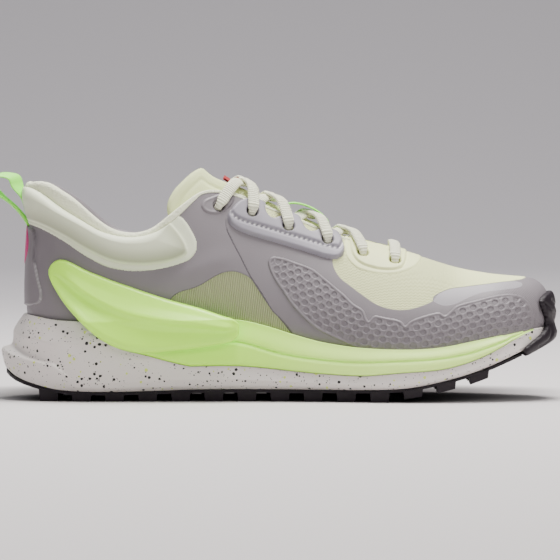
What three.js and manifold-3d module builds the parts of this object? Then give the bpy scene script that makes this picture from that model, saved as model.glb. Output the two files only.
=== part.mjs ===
// Trail running shoe for the left foot, empty and laced, standing on the ground.
// Millimetres. +X points to the toe, +Y to the lateral side, +Z up.
// The origin is on the ground, on the shoe's long axis, at half its length.
import * as THREE from "three";
import { mergeVertices } from "three/addons/utils/BufferGeometryUtils.js";
import Module from "manifold-3d";

const wasm = await Module();
wasm.setup();

// Driving sizes
const shoeLength = 290;
const ballWidth = 104;
const collarHeight = 114;
const wall = 2.2;
const collarPadding = 5.5;
const collarRoll = 2.4;
const clearance = 0.4;
const insoleThickness = 4;
const tongueThickness = 4.2;
const cuffThickness = 3.2;
const stayThickness = 2.4;
const vampStayThickness = 1.4;
const heelTabThickness = 1.3;
const bumperThickness = 2.8;
const wingThickness = 2.8;
const wingRelief = 1.2;
const outsoleBase = 1.5;
const lugDepth = 3.6;
const lugLength = 10;
const lugWidth = 15;
const lugPitch = 17;
const eyeletRadius = 2.5;
const laceWidth = 6;
const laceThickness = 2.2;
const loopWidth = 11;
const loopThickness = 1.7;
const keeperWidth = 9;
const keeperThickness = 1.2;
const footFlare = 3.6;
const footBulge = 3;
const bulgeHeight = 24;

// How finely the forms are divided
const stepsPerRib = 2;
const wallLevels = 6;
const holeSides = 8;
const holeLength = 16;

// A table: the names of its columns, then its rows
const tableOf = (names, rows) => rows.map((row) => Object.fromEntries(names.map((name, k) => [name, row[k]])));

// Ribs of the last from the heel's middle to the toe's middle, as shares of the named sizes:
// at and ridgeAt of shoeLength; medial, lateral and inset of ballWidth; seat and ridge of collarHeight.
// medial and lateral give the sole's widest outline, inset how far the last stands in from it,
// square the power of the section's rounding, and flare the share of footFlare at the collar.
const ribs = tableOf(
  ["at", "medial", "lateral", "inset", "seat", "ridgeAt", "ridge", "square", "flare"],
  [
    [0, 0, 0, 0.15, 0.285, 0.16, 1.5, 3.4, 1],
    [0.009, 0.135, 0.135, 0.14, 0.285, 0.165, 1.5, 3.4, 0.8],
    [0.036, 0.255, 0.255, 0.11, 0.285, 0.175, 1.49, 3.3, 0.4],
    [0.079, 0.332, 0.332, 0.092, 0.281, 0.195, 1.47, 3.1, 0.1],
    [0.138, 0.368, 0.37, 0.077, 0.276, 0.22, 1.42, 2.9, 0],
    [0.224, 0.366, 0.38, 0.072, 0.272, 0.26, 1.34, 2.7, 0],
    [0.328, 0.354, 0.38, 0.07, 0.27, 0.338, 1.16, 2.3, 0],
    [0.448, 0.35, 0.404, 0.068, 0.256, 0.45, 0.968, 1.9, 0],
    [0.569, 0.392, 0.466, 0.066, 0.216, 0.568, 0.826, 1.78, 0],
    [0.672, 0.46, 0.519, 0.062, 0.19, 0.668, 0.717, 1.8, 0],
    [0.759, 0.481, 0.51, 0.058, 0.19, 0.748, 0.652, 2, 0],
    [0.845, 0.447, 0.433, 0.053, 0.218, 0.812, 0.6, 2.35, 0],
    [0.914, 0.37, 0.317, 0.038, 0.252, 0.856, 0.574, 2.9, 0],
    [0.955, 0.279, 0.197, 0.033, 0.27, 0.884, 0.564, 3.2, 0],
    [0.979, 0.173, 0.077, 0.028, 0.279, 0.902, 0.56, 3.5, 0],
    [0.986, 0.058, -0.058, 0.026, 0.283, 0.912, 0.558, 3.6, 0],
  ],
);

// Lines along the sole's side. at is a share of shoeLength; bottom, step and rim are heights, as shares
// of collarHeight; tuck, stepIn, upperIn and rimIn are how far each level stands in, of sideRelief.
const sideRelief = 10;
const sideLines = tableOf(
  ["at", "bottom", "step", "rim", "tuck", "stepIn", "upperIn", "rimIn"],
  [
    [0, 0.152, 0.282, 0.388, 0.15, 0.5, 0.42, 1.15],
    [0.022, 0.112, 0.27, 0.386, 0.2, 0.42, 0.3, 0.9],
    [0.045, 0.088, 0.252, 0.383, 0.25, 0.34, 0.16, 0.68],
    [0.091, 0.059, 0.196, 0.368, 0.3, 0.2, 0.06, 0.45],
    [0.137, 0.047, 0.11, 0.362, 0.3, 0.05, 0.05, 0.35],
    [0.2, 0.044, 0.095, 0.362, 0.3, 0, 0.05, 0.3],
    [0.27, 0.048, 0.092, 0.363, 0.3, 0, 0.05, 0.3],
    [0.34, 0.054, 0.09, 0.367, 0.3, 0, 0.05, 0.3],
    [0.423, 0.056, 0.085, 0.368, 0.3, 0, 0.05, 0.3],
    [0.473, 0.056, 0.08, 0.341, 0.3, 0, 0.05, 0.3],
    [0.523, 0.056, 0.078, 0.301, 0.3, 0, 0.05, 0.28],
    [0.574, 0.056, 0.078, 0.267, 0.3, 0, 0.05, 0.26],
    [0.636, 0.056, 0.08, 0.245, 0.3, 0, 0.05, 0.25],
    [0.717, 0.064, 0.094, 0.238, 0.3, 0, 0.05, 0.25],
    [0.782, 0.093, 0.118, 0.247, 0.3, 0, 0.05, 0.24],
    [0.852, 0.142, 0.168, 0.279, 0.3, 0, 0.05, 0.22],
    [0.92, 0.212, 0.238, 0.313, 0.25, 0, 0.05, 0.2],
    [0.986, 0.29, 0.305, 0.338, 0.15, 0, 0.03, 0.15],
  ],
);

// Lines seen from the side: [share of shoeLength from the heel, share of collarHeight above the ground].
const seamLine = [
  [0.128, 0.395], [0.143, 0.362], [0.159, 0.33], [0.182, 0.285], [0.206, 0.248], [0.229, 0.228], [0.263, 0.208],
  [0.297, 0.184], [0.342, 0.158], [0.423, 0.128], [0.473, 0.116], [0.548, 0.11], [0.624, 0.114], [0.717, 0.134],
  [0.782, 0.148], [0.829, 0.177], [0.875, 0.224], [0.92, 0.287], [0.943, 0.319], [0.958, 0.348],
];
const grooveLine = [
  [0.143, 0.352], [0.2, 0.315], [0.3, 0.3], [0.423, 0.272], [0.498, 0.221], [0.548, 0.199], [0.624, 0.183],
  [0.717, 0.189], [0.782, 0.2], [0.839, 0.226], [0.908, 0.285], [0.943, 0.322],
];
const collarLine = [
  [0.034, 0.972], [0.058, 0.998], [0.086, 0.992], [0.114, 0.954], [0.136, 0.918], [0.182, 0.82], [0.205, 0.785],
  [0.228, 0.77], [0.251, 0.771], [0.274, 0.791], [0.301, 0.838], [0.344, 0.924], [0.362, 0.95], [0.384, 0.957],
  [0.424, 0.94], [0.475, 0.886], [0.52, 0.84], [0.574, 0.782], [0.618, 0.74], [0.663, 0.705], [0.7, 0.683],
];
const throatFront = 0.722;
const cuffOutline = [
  [-0.03, 0.955], [0.03, 0.957], [0.063, 0.95], [0.102, 0.902], [0.148, 0.817], [0.194, 0.756], [0.24, 0.739],
  [0.285, 0.765], [0.319, 0.829], [0.343, 0.764], [0.352, 0.7], [0.343, 0.648], [0.32, 0.619], [0.262, 0.591],
  [0.201, 0.604], [0.159, 0.654], [0.114, 0.729], [0.068, 0.787], [0.03, 0.805], [-0.03, 0.81],
];
const stayOutline = [
  [0.407, 0.832], [0.415, 0.87], [0.431, 0.9], [0.467, 0.9], [0.476, 0.845], [0.486, 0.822], [0.498, 0.829],
  [0.511, 0.852], [0.529, 0.838], [0.538, 0.806], [0.547, 0.771], [0.557, 0.76], [0.568, 0.769], [0.58, 0.784],
  [0.596, 0.768], [0.608, 0.736], [0.614, 0.689], [0.612, 0.66], [0.602, 0.642], [0.584, 0.645], [0.538, 0.681],
  [0.492, 0.716], [0.447, 0.75], [0.424, 0.774], [0.411, 0.8],
];
const vampStayOutline = [
  [0.622, 0.76], [0.617, 0.671], [0.622, 0.639], [0.637, 0.602], [0.66, 0.583], [0.685, 0.574], [0.71, 0.58],
  [0.73, 0.596], [0.746, 0.62], [0.753, 0.65], [0.755, 0.76],
];
const heelTabOutline = [
  [-0.03, 0.795], [0.045, 0.79], [0.062, 0.772], [0.066, 0.72], [0.064, 0.65], [0.07, 0.56], [0.077, 0.479],
  [0.073, 0.444], [0.053, 0.431], [-0.03, 0.43],
];
const tongueOutline = [
  [0.43, 1.02], [0.385, 1.045], [0.36, 1.075], [0.332, 1.04], [0.31, 0.974], [0.302, 0.91], [0.305, 0.84],
  [0.33, 0.77], [0.42, 0.74], [0.52, 0.66], [0.62, 0.6], [0.72, 0.585], [0.775, 0.6], [0.775, 0.72],
];
const bumperOutline = [
  [1.05, 0.5], [0.985, 0.506], [0.97, 0.483], [0.964, 0.458], [0.968, 0.43], [0.973, 0.4], [0.977, 0.364],
  [0.976, 0.335], [0.97, 0.31], [0.958, 0.287], [0.944, 0.262], [0.936, 0.246], [0.93, 0.22],
  [0.928, 0.12], [1.05, 0.12],
];
// The support wing on each side: its top and low edges, and their height lines between the two tips.
const wingLines = [
  { at: 0.085, top: 0.59, low: 0.575 },
  { at: 0.09, top: 0.617, low: 0.54 },
  { at: 0.1, top: 0.635, low: 0.498 },
  { at: 0.113, top: 0.639, low: 0.452 },
  { at: 0.127, top: 0.629, low: 0.411 },
  { at: 0.159, top: 0.589, low: 0.33 },
  { at: 0.182, top: 0.566, low: 0.283 },
  { at: 0.205, top: 0.543, low: 0.25 },
  { at: 0.229, top: 0.522, low: 0.23 },
  { at: 0.262, top: 0.493, low: 0.22 },
  { at: 0.308, top: 0.456, low: 0.227 },
  { at: 0.36, top: 0.42, low: 0.243 },
  { at: 0.398, top: 0.388, low: 0.26 },
  { at: 0.418, top: 0.372, low: 0.275 },
  { at: 0.428, top: 0.355, low: 0.3 },
];
const eyelets = [
  { at: 0.392, up: 0.879 },
  { at: 0.45, up: 0.849 },
  { at: 0.515, up: 0.782 },
  { at: 0.584, up: 0.721 },
  { at: 0.647, up: 0.665 },
  { at: 0.704, up: 0.629 },
];
const loopOutline = [
  [0.05, 0.77], [0.04, 0.835], [0.028, 0.875], [0.012, 0.912], [-0.004, 0.938], [-0.02, 0.965], [-0.022, 1.0],
  [-0.008, 1.026], [0.009, 1.026], [0.021, 1.015], [0.027, 0.974], [0.036, 0.926], [0.049, 0.88], [0.058, 0.84],
];
const loopEye = [
  [0.016, 0.945], [0.0, 0.965], [-0.012, 0.985], [-0.008, 1.008], [0.006, 1.01], [0.015, 1.002], [0.019, 0.972],
];

const toeRib = ribs.length - 1;
const samples = 2 * toeRib * stepsPerRib;
const lengthAt = (share) => (share - 0.5) * shoeLength;
const heightAt = (share) => share * collarHeight;
const clamp = (value, low, high) => Math.min(Math.max(value, low), high);
const smoothStep = (value) => {
  const f = clamp(value, 0, 1);
  return f * f * (3 - 2 * f);
};

// A smooth value between the rows of a table or line whose key rises from row to row.
function read(rows, key, name, value) {
  const last = rows.length - 1;
  if (value <= rows[0][key]) return rows[0][name];
  if (value >= rows[last][key]) return rows[last][name];
  let i = 0;
  while (rows[i + 1][key] < value) i++;
  const slope = (k) => {
    const before = rows[Math.max(k - 1, 0)];
    const after = rows[Math.min(k + 1, last)];
    return (after[name] - before[name]) / (after[key] - before[key]);
  };
  const width = rows[i + 1][key] - rows[i][key];
  const f = (value - rows[i][key]) / width;
  const start = rows[i][name];
  const end = rows[i + 1][name];
  const bend = slope(i) * width * f * (1 - f) ** 2 - slope(i + 1) * width * f * f * (1 - f);
  return start + (end - start) * f * f * (3 - 2 * f) + bend;
}
const readLine = (line, at) => read(line, 0, 1, at);

// Values around the loop of ribs: s is 0 at the heel's middle, plus or minus toeRib at the toe's middle,
// negative on the medial side.
function ribValue(name, index) {
  const turns = 2 * toeRib;
  const folded = ((((index + toeRib) % turns) + turns) % turns) - toeRib;
  const rib = ribs[Math.abs(folded)];
  if (name !== "across") return rib[name];
  return folded < 0 ? -rib.medial : rib.lateral;
}
function around(name, s) {
  const i = Math.floor(s);
  const f = s - i;
  const [a, b, c, d] = [-1, 0, 1, 2].map((k) => ribValue(name, i + k));
  const square = 2 * a - 5 * b + 4 * c - d;
  const cube = 3 * b - a - 3 * c + d;
  return 0.5 * (2 * b + (c - a) * f + square * f * f + cube * f ** 3);
}

// The sole's widest outline seen from above, stood in by some distance.
function planPoint(s, standIn = 0) {
  const step = 0.01;
  const x = lengthAt(around("at", s));
  const y = ballWidth * around("across", s);
  const dx = lengthAt(around("at", s + step)) - lengthAt(around("at", s - step));
  const dy = ballWidth * (around("across", s + step) - around("across", s - step));
  const run = Math.hypot(dx, dy);
  const normal = { x: -dy / run, y: dx / run };
  return { x: x - normal.x * standIn, y: y - normal.y * standIn, normal };
}

// The outside of the last: s runs round it, turn from 0 at the footbed to 1 at the ridge on top.
const ridgeFollow = 0.6;
const flareStart = 0.8;
const flareEnd = 0.97;
function lastPoint(s, turn) {
  const foot = planPoint(s, ballWidth * around("inset", s));
  const seat = heightAt(around("seat", s));
  const ridge = {
    x: lengthAt(around("ridgeAt", s)),
    y: (ridgeFollow * ballWidth * (around("across", s) + around("across", -s))) / 2,
    z: heightAt(around("ridge", s)),
  };
  const power = 2 / around("square", s);
  const angle = (turn * Math.PI) / 2;
  const inward = turn >= 1 ? 0 : Math.cos(angle) ** power;
  const z = seat + (ridge.z - seat) * Math.sin(angle) ** power;
  const lift = (z - seat) / bulgeHeight;
  const bulge = footBulge * lift * Math.exp(1 - lift) * inward;
  const flareRise = (z - heightAt(flareStart)) / heightAt(flareEnd - flareStart);
  const out = bulge + footFlare * around("flare", s) * smoothStep(flareRise) * inward;
  return new THREE.Vector3(
    ridge.x + (foot.x - ridge.x) * inward + foot.normal.x * out,
    ridge.y + (foot.y - ridge.y) * inward + foot.normal.y * out,
    z,
  );
}

// An indexed mesh of rings; level 0 and the last level can be closed by strips straight across the shoe.
function skin(levels, pointAt, { closeLow = false, closeHigh = false } = {}) {
  const positions = [];
  const index = [];
  const id = (i, j) => (i % samples) * levels + j;
  for (let i = 0; i < samples; i++) {
    const s = -toeRib + i / stepsPerRib;
    for (let j = 0; j < levels; j++) positions.push(...pointAt(s, j).toArray());
  }
  for (let i = 0; i < samples; i++)
    for (let j = 0; j < levels - 1; j++) {
      index.push(id(i, j), id(i, j + 1), id(i + 1, j));
      index.push(id(i + 1, j), id(i, j + 1), id(i + 1, j + 1));
    }
  const strip = (j, flip) => {
    for (let i = 0; i < samples / 2; i++) {
      const corners = [id(i, j), id(i + 1, j), id(samples - i - 1, j), id(samples - i, j)];
      const order = flip ? [0, 2, 1, 0, 3, 2] : [0, 1, 2, 0, 2, 3];
      index.push(...order.map((k) => corners[k]));
    }
  };
  if (closeLow) strip(0, false);
  if (closeHigh) strip(levels - 1, true);
  return joined(positions, index);
}

// Welds equal points and drops triangles that have no area.
function joined(positions, index) {
  const raw = new THREE.BufferGeometry();
  raw.setAttribute("position", new THREE.Float32BufferAttribute(positions, 3));
  raw.setIndex(index);
  const welded = mergeVertices(raw, 1e-3);
  const from = welded.index.array;
  const kept = [];
  for (let i = 0; i < from.length; i += 3) {
    const [a, b, c] = [from[i], from[i + 1], from[i + 2]];
    if (a !== b && b !== c && c !== a) kept.push(a, b, c);
  }
  welded.setIndex(kept);
  welded.computeVertexNormals();
  return welded;
}

// The same mesh with every point moved out along its normal.
function offset(geometry, distance) {
  const moved = geometry.clone();
  const p = moved.attributes.position;
  const n = geometry.attributes.normal;
  for (let i = 0; i < p.count; i++) {
    const spot = ["X", "Y", "Z"].map((axis) => p["get" + axis](i) + n["get" + axis](i) * distance);
    p.setXYZ(i, ...spot);
  }
  return moved;
}

function solid(geometry) {
  const bare = new THREE.BufferGeometry();
  bare.setAttribute("position", geometry.attributes.position);
  if (geometry.index) bare.setIndex(geometry.index);
  const merged = mergeVertices(bare, 1e-3);
  const kept = [];
  const from = merged.index.array;
  for (let i = 0; i < from.length; i += 3)
    if (from[i] !== from[i + 1] && from[i + 1] !== from[i + 2] && from[i + 2] !== from[i])
      kept.push(from[i], from[i + 1], from[i + 2]);
  const mesh = new wasm.Mesh({
    numProp: 3,
    vertProperties: merged.attributes.position.array,
    triVerts: new Uint32Array(kept),
  });
  return new wasm.Manifold(mesh);
}

function geometryOf(made) {
  const mesh = made.getMesh();
  const geometry = new THREE.BufferGeometry();
  geometry.setAttribute("position", new THREE.BufferAttribute(new Float32Array(mesh.vertProperties), 3));
  geometry.setIndex(new THREE.BufferAttribute(new Uint32Array(mesh.triVerts), 1));
  geometry.computeVertexNormals();
  return geometry;
}

// A side-view outline, pushed straight across the shoe from y = from to y = to.
function prism(outline, from, to, { divisions = 1 } = {}) {
  let points = outline.map(([at, height]) => new THREE.Vector2(lengthAt(at), heightAt(height)));
  if (divisions > 1) {
    const flat = points.map((p) => new THREE.Vector3(p.x, p.y, 0));
    const curve = new THREE.CatmullRomCurve3(flat, true, "centripetal");
    points = curve.getPoints(points.length * divisions).slice(0, -1);
  }
  const shape = new THREE.Shape(points.map((p) => new THREE.Vector2(p.x, p.y)));
  const geometry = new THREE.ExtrudeGeometry(shape, { depth: to - from, bevelEnabled: false });
  geometry.rotateX(Math.PI / 2);
  geometry.translate(0, to, 0);
  return solid(geometry);
}

const farOut = 90;
// The sole as one block with its side levels, before it is parted into foam, rail and footbed.
const sideLevels = 10;
const lip = 0.8;
const grooveDepth = 1.1;
const crestOut = 1.3;
function sideLevel(s, j) {
  const at = around("at", s);
  const line = (name) => read(sideLines, "at", name, at);
  const rim = heightAt(line("rim"));
  const bottom = heightAt(line("bottom"));
  const least = (rim - bottom) / 12;
  const step = clamp(heightAt(line("step")), bottom + 2 * least, rim - 7 * least);
  const seam = clamp(heightAt(readLine(seamLine, at)), step + 2 * least, rim - 4 * least);
  const groove = clamp(heightAt(readLine(grooveLine, at)), seam + 2 * least, rim - 2 * least);
  const banded = smoothStep((at - seamLine[1][0]) / 0.06) * smoothStep((0.96 - at) / 0.06);
  const lift = (low, high, share) => low + (high - low) * share;
  const rows = [
    [bottom, line("tuck")],
    [lift(bottom, step, 0.3), line("tuck") * 0.35],
    [lift(bottom, step, 0.8), 0],
    [step, line("stepIn")],
    [lift(step, seam, 0.94), line("upperIn") * 1.4],
    [seam, line("upperIn") * 1.4 - (lip / sideRelief) * banded],
    [lift(seam, groove, 0.5), line("upperIn") * 1.5 - (crestOut / sideRelief) * banded],
    [groove, lift(line("upperIn"), line("rimIn"), 0.35) + (grooveDepth / sideRelief) * banded],
    [lift(groove, rim, 0.6), lift(line("upperIn"), line("rimIn"), 0.6) - (lip / sideRelief) * banded],
    [rim, line("rimIn")],
  ];
  const [z, standIn] = rows[j];
  const { x, y } = planPoint(s, standIn * sideRelief);
  return new THREE.Vector3(x, y, z);
}
const blockSkin = skin(sideLevels, sideLevel, { closeLow: true, closeHigh: true });
const soleBlock = (distance) => solid(offset(blockSkin, distance));

// Where the side view's point (at, height) lies on one side of the last, as s and turn.
function spotOnLast(at, height, side) {
  const x = lengthAt(at);
  const z = heightAt(height);
  const ribFor = (turn) => {
    let low = 0;
    let high = toeRib;
    for (let k = 0; k < 30; k++) {
      const middle = (low + high) / 2;
      if (lastPoint(middle, turn).x < x) low = middle;
      else high = middle;
    }
    return low;
  };
  let low = 0.1;
  let high = 0.999;
  for (let k = 0; k < 30; k++) {
    const middle = (low + high) / 2;
    if (lastPoint(ribFor(middle), middle).z < z) low = middle;
    else high = middle;
  }
  return { s: side * ribFor(low), turn: low };
}

function outwardAt(s, turn) {
  const point = lastPoint(s, turn);
  const near = clamp(turn, 0.011, 0.985);
  const alongRib = lastPoint(s + 0.05, near).sub(lastPoint(s - 0.05, near));
  const upWall = lastPoint(s, near + 0.01).sub(lastPoint(s, near - 0.01));
  const normal = upWall.cross(alongRib).normalize();
  const centre = lastPoint(s, 1).setZ(heightAt(around("seat", s)));
  if (normal.dot(point.clone().sub(centre)) < 0) normal.negate();
  return normal;
}

// The turn at which the upper's wall meets the collar line, or 1 where it closes over the toes.
function edgeTurn(s) {
  const over = (turn) => {
    const point = lastPoint(s, turn);
    return point.z - heightAt(readLine(collarLine, point.x / shoeLength + 0.5));
  };
  if (lastPoint(s, 1).x > lengthAt(throatFront) || over(1) < 0) return 1;
  let low = 0;
  let high = 1;
  for (let k = 0; k < 30; k++) {
    const middle = (low + high) / 2;
    if (over(middle) < 0) low = middle;
    else high = middle;
  }
  return low;
}

// The closed last shares the upper's own levels up to its edge, and has a few more above it.
const crownLevels = 3;
const lastSkin = skin(
  wallLevels + crownLevels + 1,
  (s, j) => {
    const edge = edgeTurn(s);
    const above = clamp((j - wallLevels) / crownLevels, 0, 1);
    return lastPoint(s, edge * Math.min(j / wallLevels, 1) + (1 - edge) * above);
  },
  { closeLow: true },
);
const lastForm = (distance) => solid(offset(lastSkin, distance));
// What lies between two distances outside the last, under a side-view outline.
function overlay(outline, thickness, { from = -farOut, to = farOut, divisions = 2 } = {}) {
  const shell = lastForm(thickness + clearance).subtract(lastForm(clearance));
  return shell.intersect(prism(outline, from, to, { divisions }));
}

// Everything below the collar line, seen from the side and shifted by some height.
function belowCollar(lift) {
  const line = collarLine.map(([at, height]) => [at, height + lift / collarHeight]);
  const front = throatFront - 0.004;
  const outline = [[-0.2, 0], [-0.2, line[0][1]], ...line, [front, 0.95], [1.2, 0.95], [1.2, 0]];
  return prism(outline.reverse(), -farOut, farOut);
}

function eyeletAxis({ at, up }, side) {
  const spot = spotOnLast(at, up, side);
  return { ...spot, point: lastPoint(spot.s, spot.turn), normal: outwardAt(spot.s, spot.turn) };
}
const eyeletHoles = wasm.Manifold.union(
  eyelets.flatMap((eyelet) =>
    [-1, 1].map((side) => {
      const { point, normal } = eyeletAxis(eyelet, side);
      const hole = new THREE.CylinderGeometry(eyeletRadius, eyeletRadius, holeLength, holeSides);
      hole.applyQuaternion(new THREE.Quaternion().setFromUnitVectors(new THREE.Vector3(0, 1, 0), normal));
      hole.translate(point.x, point.y, point.z);
      return solid(hole);
    }),
  ),
);

// The upper: an outer wall, an inner wall and a rounded rim between them.
const paddingDepth = 42;
const paddingFront = 0.27;
const paddingEnd = 0.31;
function wallDepth(point, edge) {
  const at = point.x / shoeLength + 0.5;
  const below = (edge.z - point.z) / paddingDepth;
  const rise = smoothStep(0.45 + below * 3) * smoothStep((1 - below) * 1.6);
  return wall + collarPadding * rise * smoothStep((paddingEnd - at) / (paddingEnd - paddingFront));
}
function upperSkin() {
  const columns = [];
  for (let i = 0; i < samples; i++) {
    const s = -toeRib + i / stepsPerRib;
    const edge = edgeTurn(s);
    const top = lastPoint(s, edge);
    const column = { outer: [], inner: [], open: edge < 1 };
    for (let j = 0; j <= wallLevels; j++) {
      const turn = (edge * j) / wallLevels;
      const point = lastPoint(s, turn);
      const normal = outwardAt(s, Math.max(turn, 0.004));
      if (j === 0) normal.setZ(0).normalize();
      const deep = column.open ? wallDepth(point, top) : wall;
      column.outer.push(point);
      column.inner.push(point.clone().addScaledVector(normal, -deep));
      column.inner[j].z = j === 0 ? point.z : column.inner[j].z;
    }
    columns.push(column);
  }
  // Where the two sides meet on the ridge they share one point inside as well.
  for (let i = 0; i <= samples / 2; i++) {
    const a = columns[i % samples];
    const b = columns[(samples - i) % samples];
    if (a.open) continue;
    const middle = a.inner[wallLevels].clone().add(b.inner[wallLevels]).multiplyScalar(0.5);
    a.inner[wallLevels].copy(middle);
    b.inner[wallLevels].copy(middle);
  }
  const rows = 2 * (wallLevels + 1) + 2;
  const positions = [];
  const index = [];
  for (const { outer, inner, open } of columns) {
    const a = outer[wallLevels];
    const b = inner[wallLevels];
    const lift = open ? a.distanceTo(b) * 0.3 : 0;
    const rim = (share) => {
      if (!open) return share < 0.5 ? a.clone() : b.clone();
      return a.clone().lerp(b, share).add(new THREE.Vector3(0, 0, lift));
    };
    const ring = [...outer, rim(0.25), rim(0.75), ...inner.slice().reverse()];
    for (const point of ring) positions.push(point.x, point.y, point.z);
  }
  for (let i = 0; i < samples; i++) {
    const next = (i + 1) % samples;
    for (let j = 0; j < rows; j++) {
      const up = (j + 1) % rows;
      const closed = !columns[i].open && !columns[next].open;
      if (closed && (j === wallLevels || j === wallLevels + 2)) continue;
      if (closed && j === wallLevels + 1) continue;
      index.push(i * rows + j, i * rows + up, next * rows + j);
      index.push(next * rows + j, i * rows + up, next * rows + up);
    }
  }
  return joined(positions, index);
}

const upperWall = upperSkin();
const upper = solid(upperWall).subtract(eyeletHoles);

// The sole's foam in two layers, each hollowed for the upper and parted along the seam line.
const fit = 0.35;
const upperRoom = solid(offset(upperWall, fit));
const foot = lastForm(fit);
const hollowed = soleBlock(0).subtract(foot);
const seamGap = 0.3;
function aboveSeam(lift) {
  const line = seamLine.map(([at, height]) => [at, height + lift / collarHeight]);
  const first = line[0];
  const last = line[line.length - 1];
  return prism([...line, [last[0], 0.8], [first[0], 0.8]], -farOut, farOut);
}
const largest = (made) => made.decompose().sort((a, b) => b.volume() - a.volume())[0];
const carrier = largest(hollowed.intersect(aboveSeam(seamGap / 2)));
const midsole = largest(hollowed.subtract(aboveSeam(-seamGap / 2)));

// The rubber underneath: a plate that follows the foam, tread lugs, and the cap over the toe.
const bottomAt = (x) => heightAt(read(sideLines, "at", "bottom", x / shoeLength + 0.5));
const slopeAt = (x) => (bottomAt(x + 1) - bottomAt(x - 1)) / 2;
const plateGap = 0.3;
const plateIn = 0.6;
const plateSkin = skin(
  2,
  (s, j) => {
    const at = around("at", s);
    const tuck = sideRelief * read(sideLines, "at", "tuck", at);
    const { x, y } = planPoint(s, tuck + plateIn);
    return new THREE.Vector3(x, y, bottomAt(x) - plateGap - (j === 0 ? outsoleBase : 0));
  },
  { closeLow: true, closeHigh: true },
);
function halfWidthAt(x, side) {
  let low = 0;
  let high = toeRib;
  for (let k = 0; k < 30; k++) {
    const middle = (low + high) / 2;
    if (planPoint(side * middle).x < x) low = middle;
    else high = middle;
  }
  return planPoint(side * low).y;
}
const reach = 1.8;
const lugsFrom = 0.05;
const lugsTo = 0.905;
function lug(x, y, length, width, point = 0) {
  const half = length / 2;
  const outline = [[-half, -width / 2]];
  if (point) outline.push([-half + point, 0]);
  outline.push([-half, width / 2], [half, width / 2]);
  if (point) outline.push([half + point, 0]);
  outline.push([half, -width / 2]);
  const top = bottomAt(x) - plateGap - outsoleBase * 0.5;
  const under = bottomAt(x) - plateGap - outsoleBase - lugDepth;
  const slope = slopeAt(x);
  const onGround = under < reach;
  const taper = 0.9;
  const positions = [];
  for (const [share, level] of [[taper, 0], [1, 1]])
    for (const [dx, dy] of outline) {
      const z = level ? top + slope * dx : onGround ? 0 : under + slope * dx;
      positions.push(x + dx * share, y + dy * share, z);
    }
  const index = [];
  const sides = outline.length;
  for (let k = 0; k < sides; k++) {
    const n = (k + 1) % sides;
    index.push(k, k + sides, n, n, k + sides, n + sides);
  }
  const fan = point ? [[0, 1, 4], [0, 4, 5], [1, 2, 3], [1, 3, 4]] : [[0, 1, 2], [0, 2, 3]];
  for (const [a, b, c] of fan) index.push(a, b, c, a + sides, c + sides, b + sides);
  return solid(joined(positions, index));
}
const lugs = [];
const rowsEachWay = Math.floor(shoeLength / 2 / lugPitch);
for (let row = -rowsEachWay; row <= rowsEachWay; row++) {
  const x = row * lugPitch;
  if (x < lengthAt(lugsFrom) || x > lengthAt(lugsTo)) continue;
  const medial = halfWidthAt(x, -1);
  const lateral = halfWidthAt(x, 1);
  const spread = lateral - medial;
  const sideWidth = Math.min(lugWidth, spread * 0.22);
  const inset = 3.2 + sideWidth / 2;
  const ends = Math.min(Math.abs(planSlope(x, -1)), 1) * 3;
  const point = row > 0 ? 2.4 : -2.4;
  const centre = row === 0 ? 0 : (medial + lateral) / 2;
  lugs.push(lug(x, centre, lugLength, Math.min(lugWidth, spread * 0.26), point));
  lugs.push(lug(x, medial + inset + ends, lugLength, sideWidth));
  lugs.push(lug(x, lateral - inset - ends, lugLength, sideWidth));
}
function planSlope(x, side) {
  return (halfWidthAt(x + 4, side) - halfWidthAt(x - 4, side)) / 8;
}
const toeShell = soleBlock(bumperThickness + fit)
  .add(lastForm(bumperThickness + fit))
  .subtract(soleBlock(fit).add(foot));
const toeBumper = largest(toeShell.intersect(prism(bumperOutline, -farOut, farOut)));
const bumperRoom = bumperOutline.map(([at, height]) => [at - seamGap / shoeLength, height]);
const plate = solid(plateSkin).subtract(prism(bumperRoom, -farOut, farOut));
const outsole = wasm.Manifold.union([plate, ...lugs]);

// The insole: a plate over the footbed, inside the upper's wall.
const insoleSkin = skin(
  2,
  (s, j) => {
    const seat = heightAt(around("seat", s));
    const inner = ballWidth * around("inset", s) + wall + 0.6;
    const { x, y } = planPoint(s, inner + 0.4);
    return new THREE.Vector3(x, y, seat + fit + (j === 0 ? 0 : insoleThickness));
  },
  { closeLow: true, closeHigh: true },
);

// The tongue lies under the throat, clear of the upper's wall.
const tongueGap = 0.8;
const tongueOut = -(wall + tongueGap);
const tongue = largest(
  lastForm(tongueOut)
    .subtract(lastForm(tongueOut - tongueThickness))
    .intersect(prism(tongueOutline, -farOut, farOut, { divisions: 2 }))
    .subtract(upperRoom),
);

// Overlays on the upper's outside.
const edgeTrim = belowCollar(-0.6);
const onUpper = (made) => largest(made.intersect(edgeTrim).subtract(eyeletHoles));
const cuff = onUpper(overlay(cuffOutline, cuffThickness));
const heelTab = onUpper(overlay(heelTabOutline, heelTabThickness, { divisions: 1 }));
const stay = (from, to) => onUpper(overlay(stayOutline, stayThickness, { from, to, divisions: 1 }));
const vampStay = onUpper(overlay(vampStayOutline, vampStayThickness, { divisions: 1 }));

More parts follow.
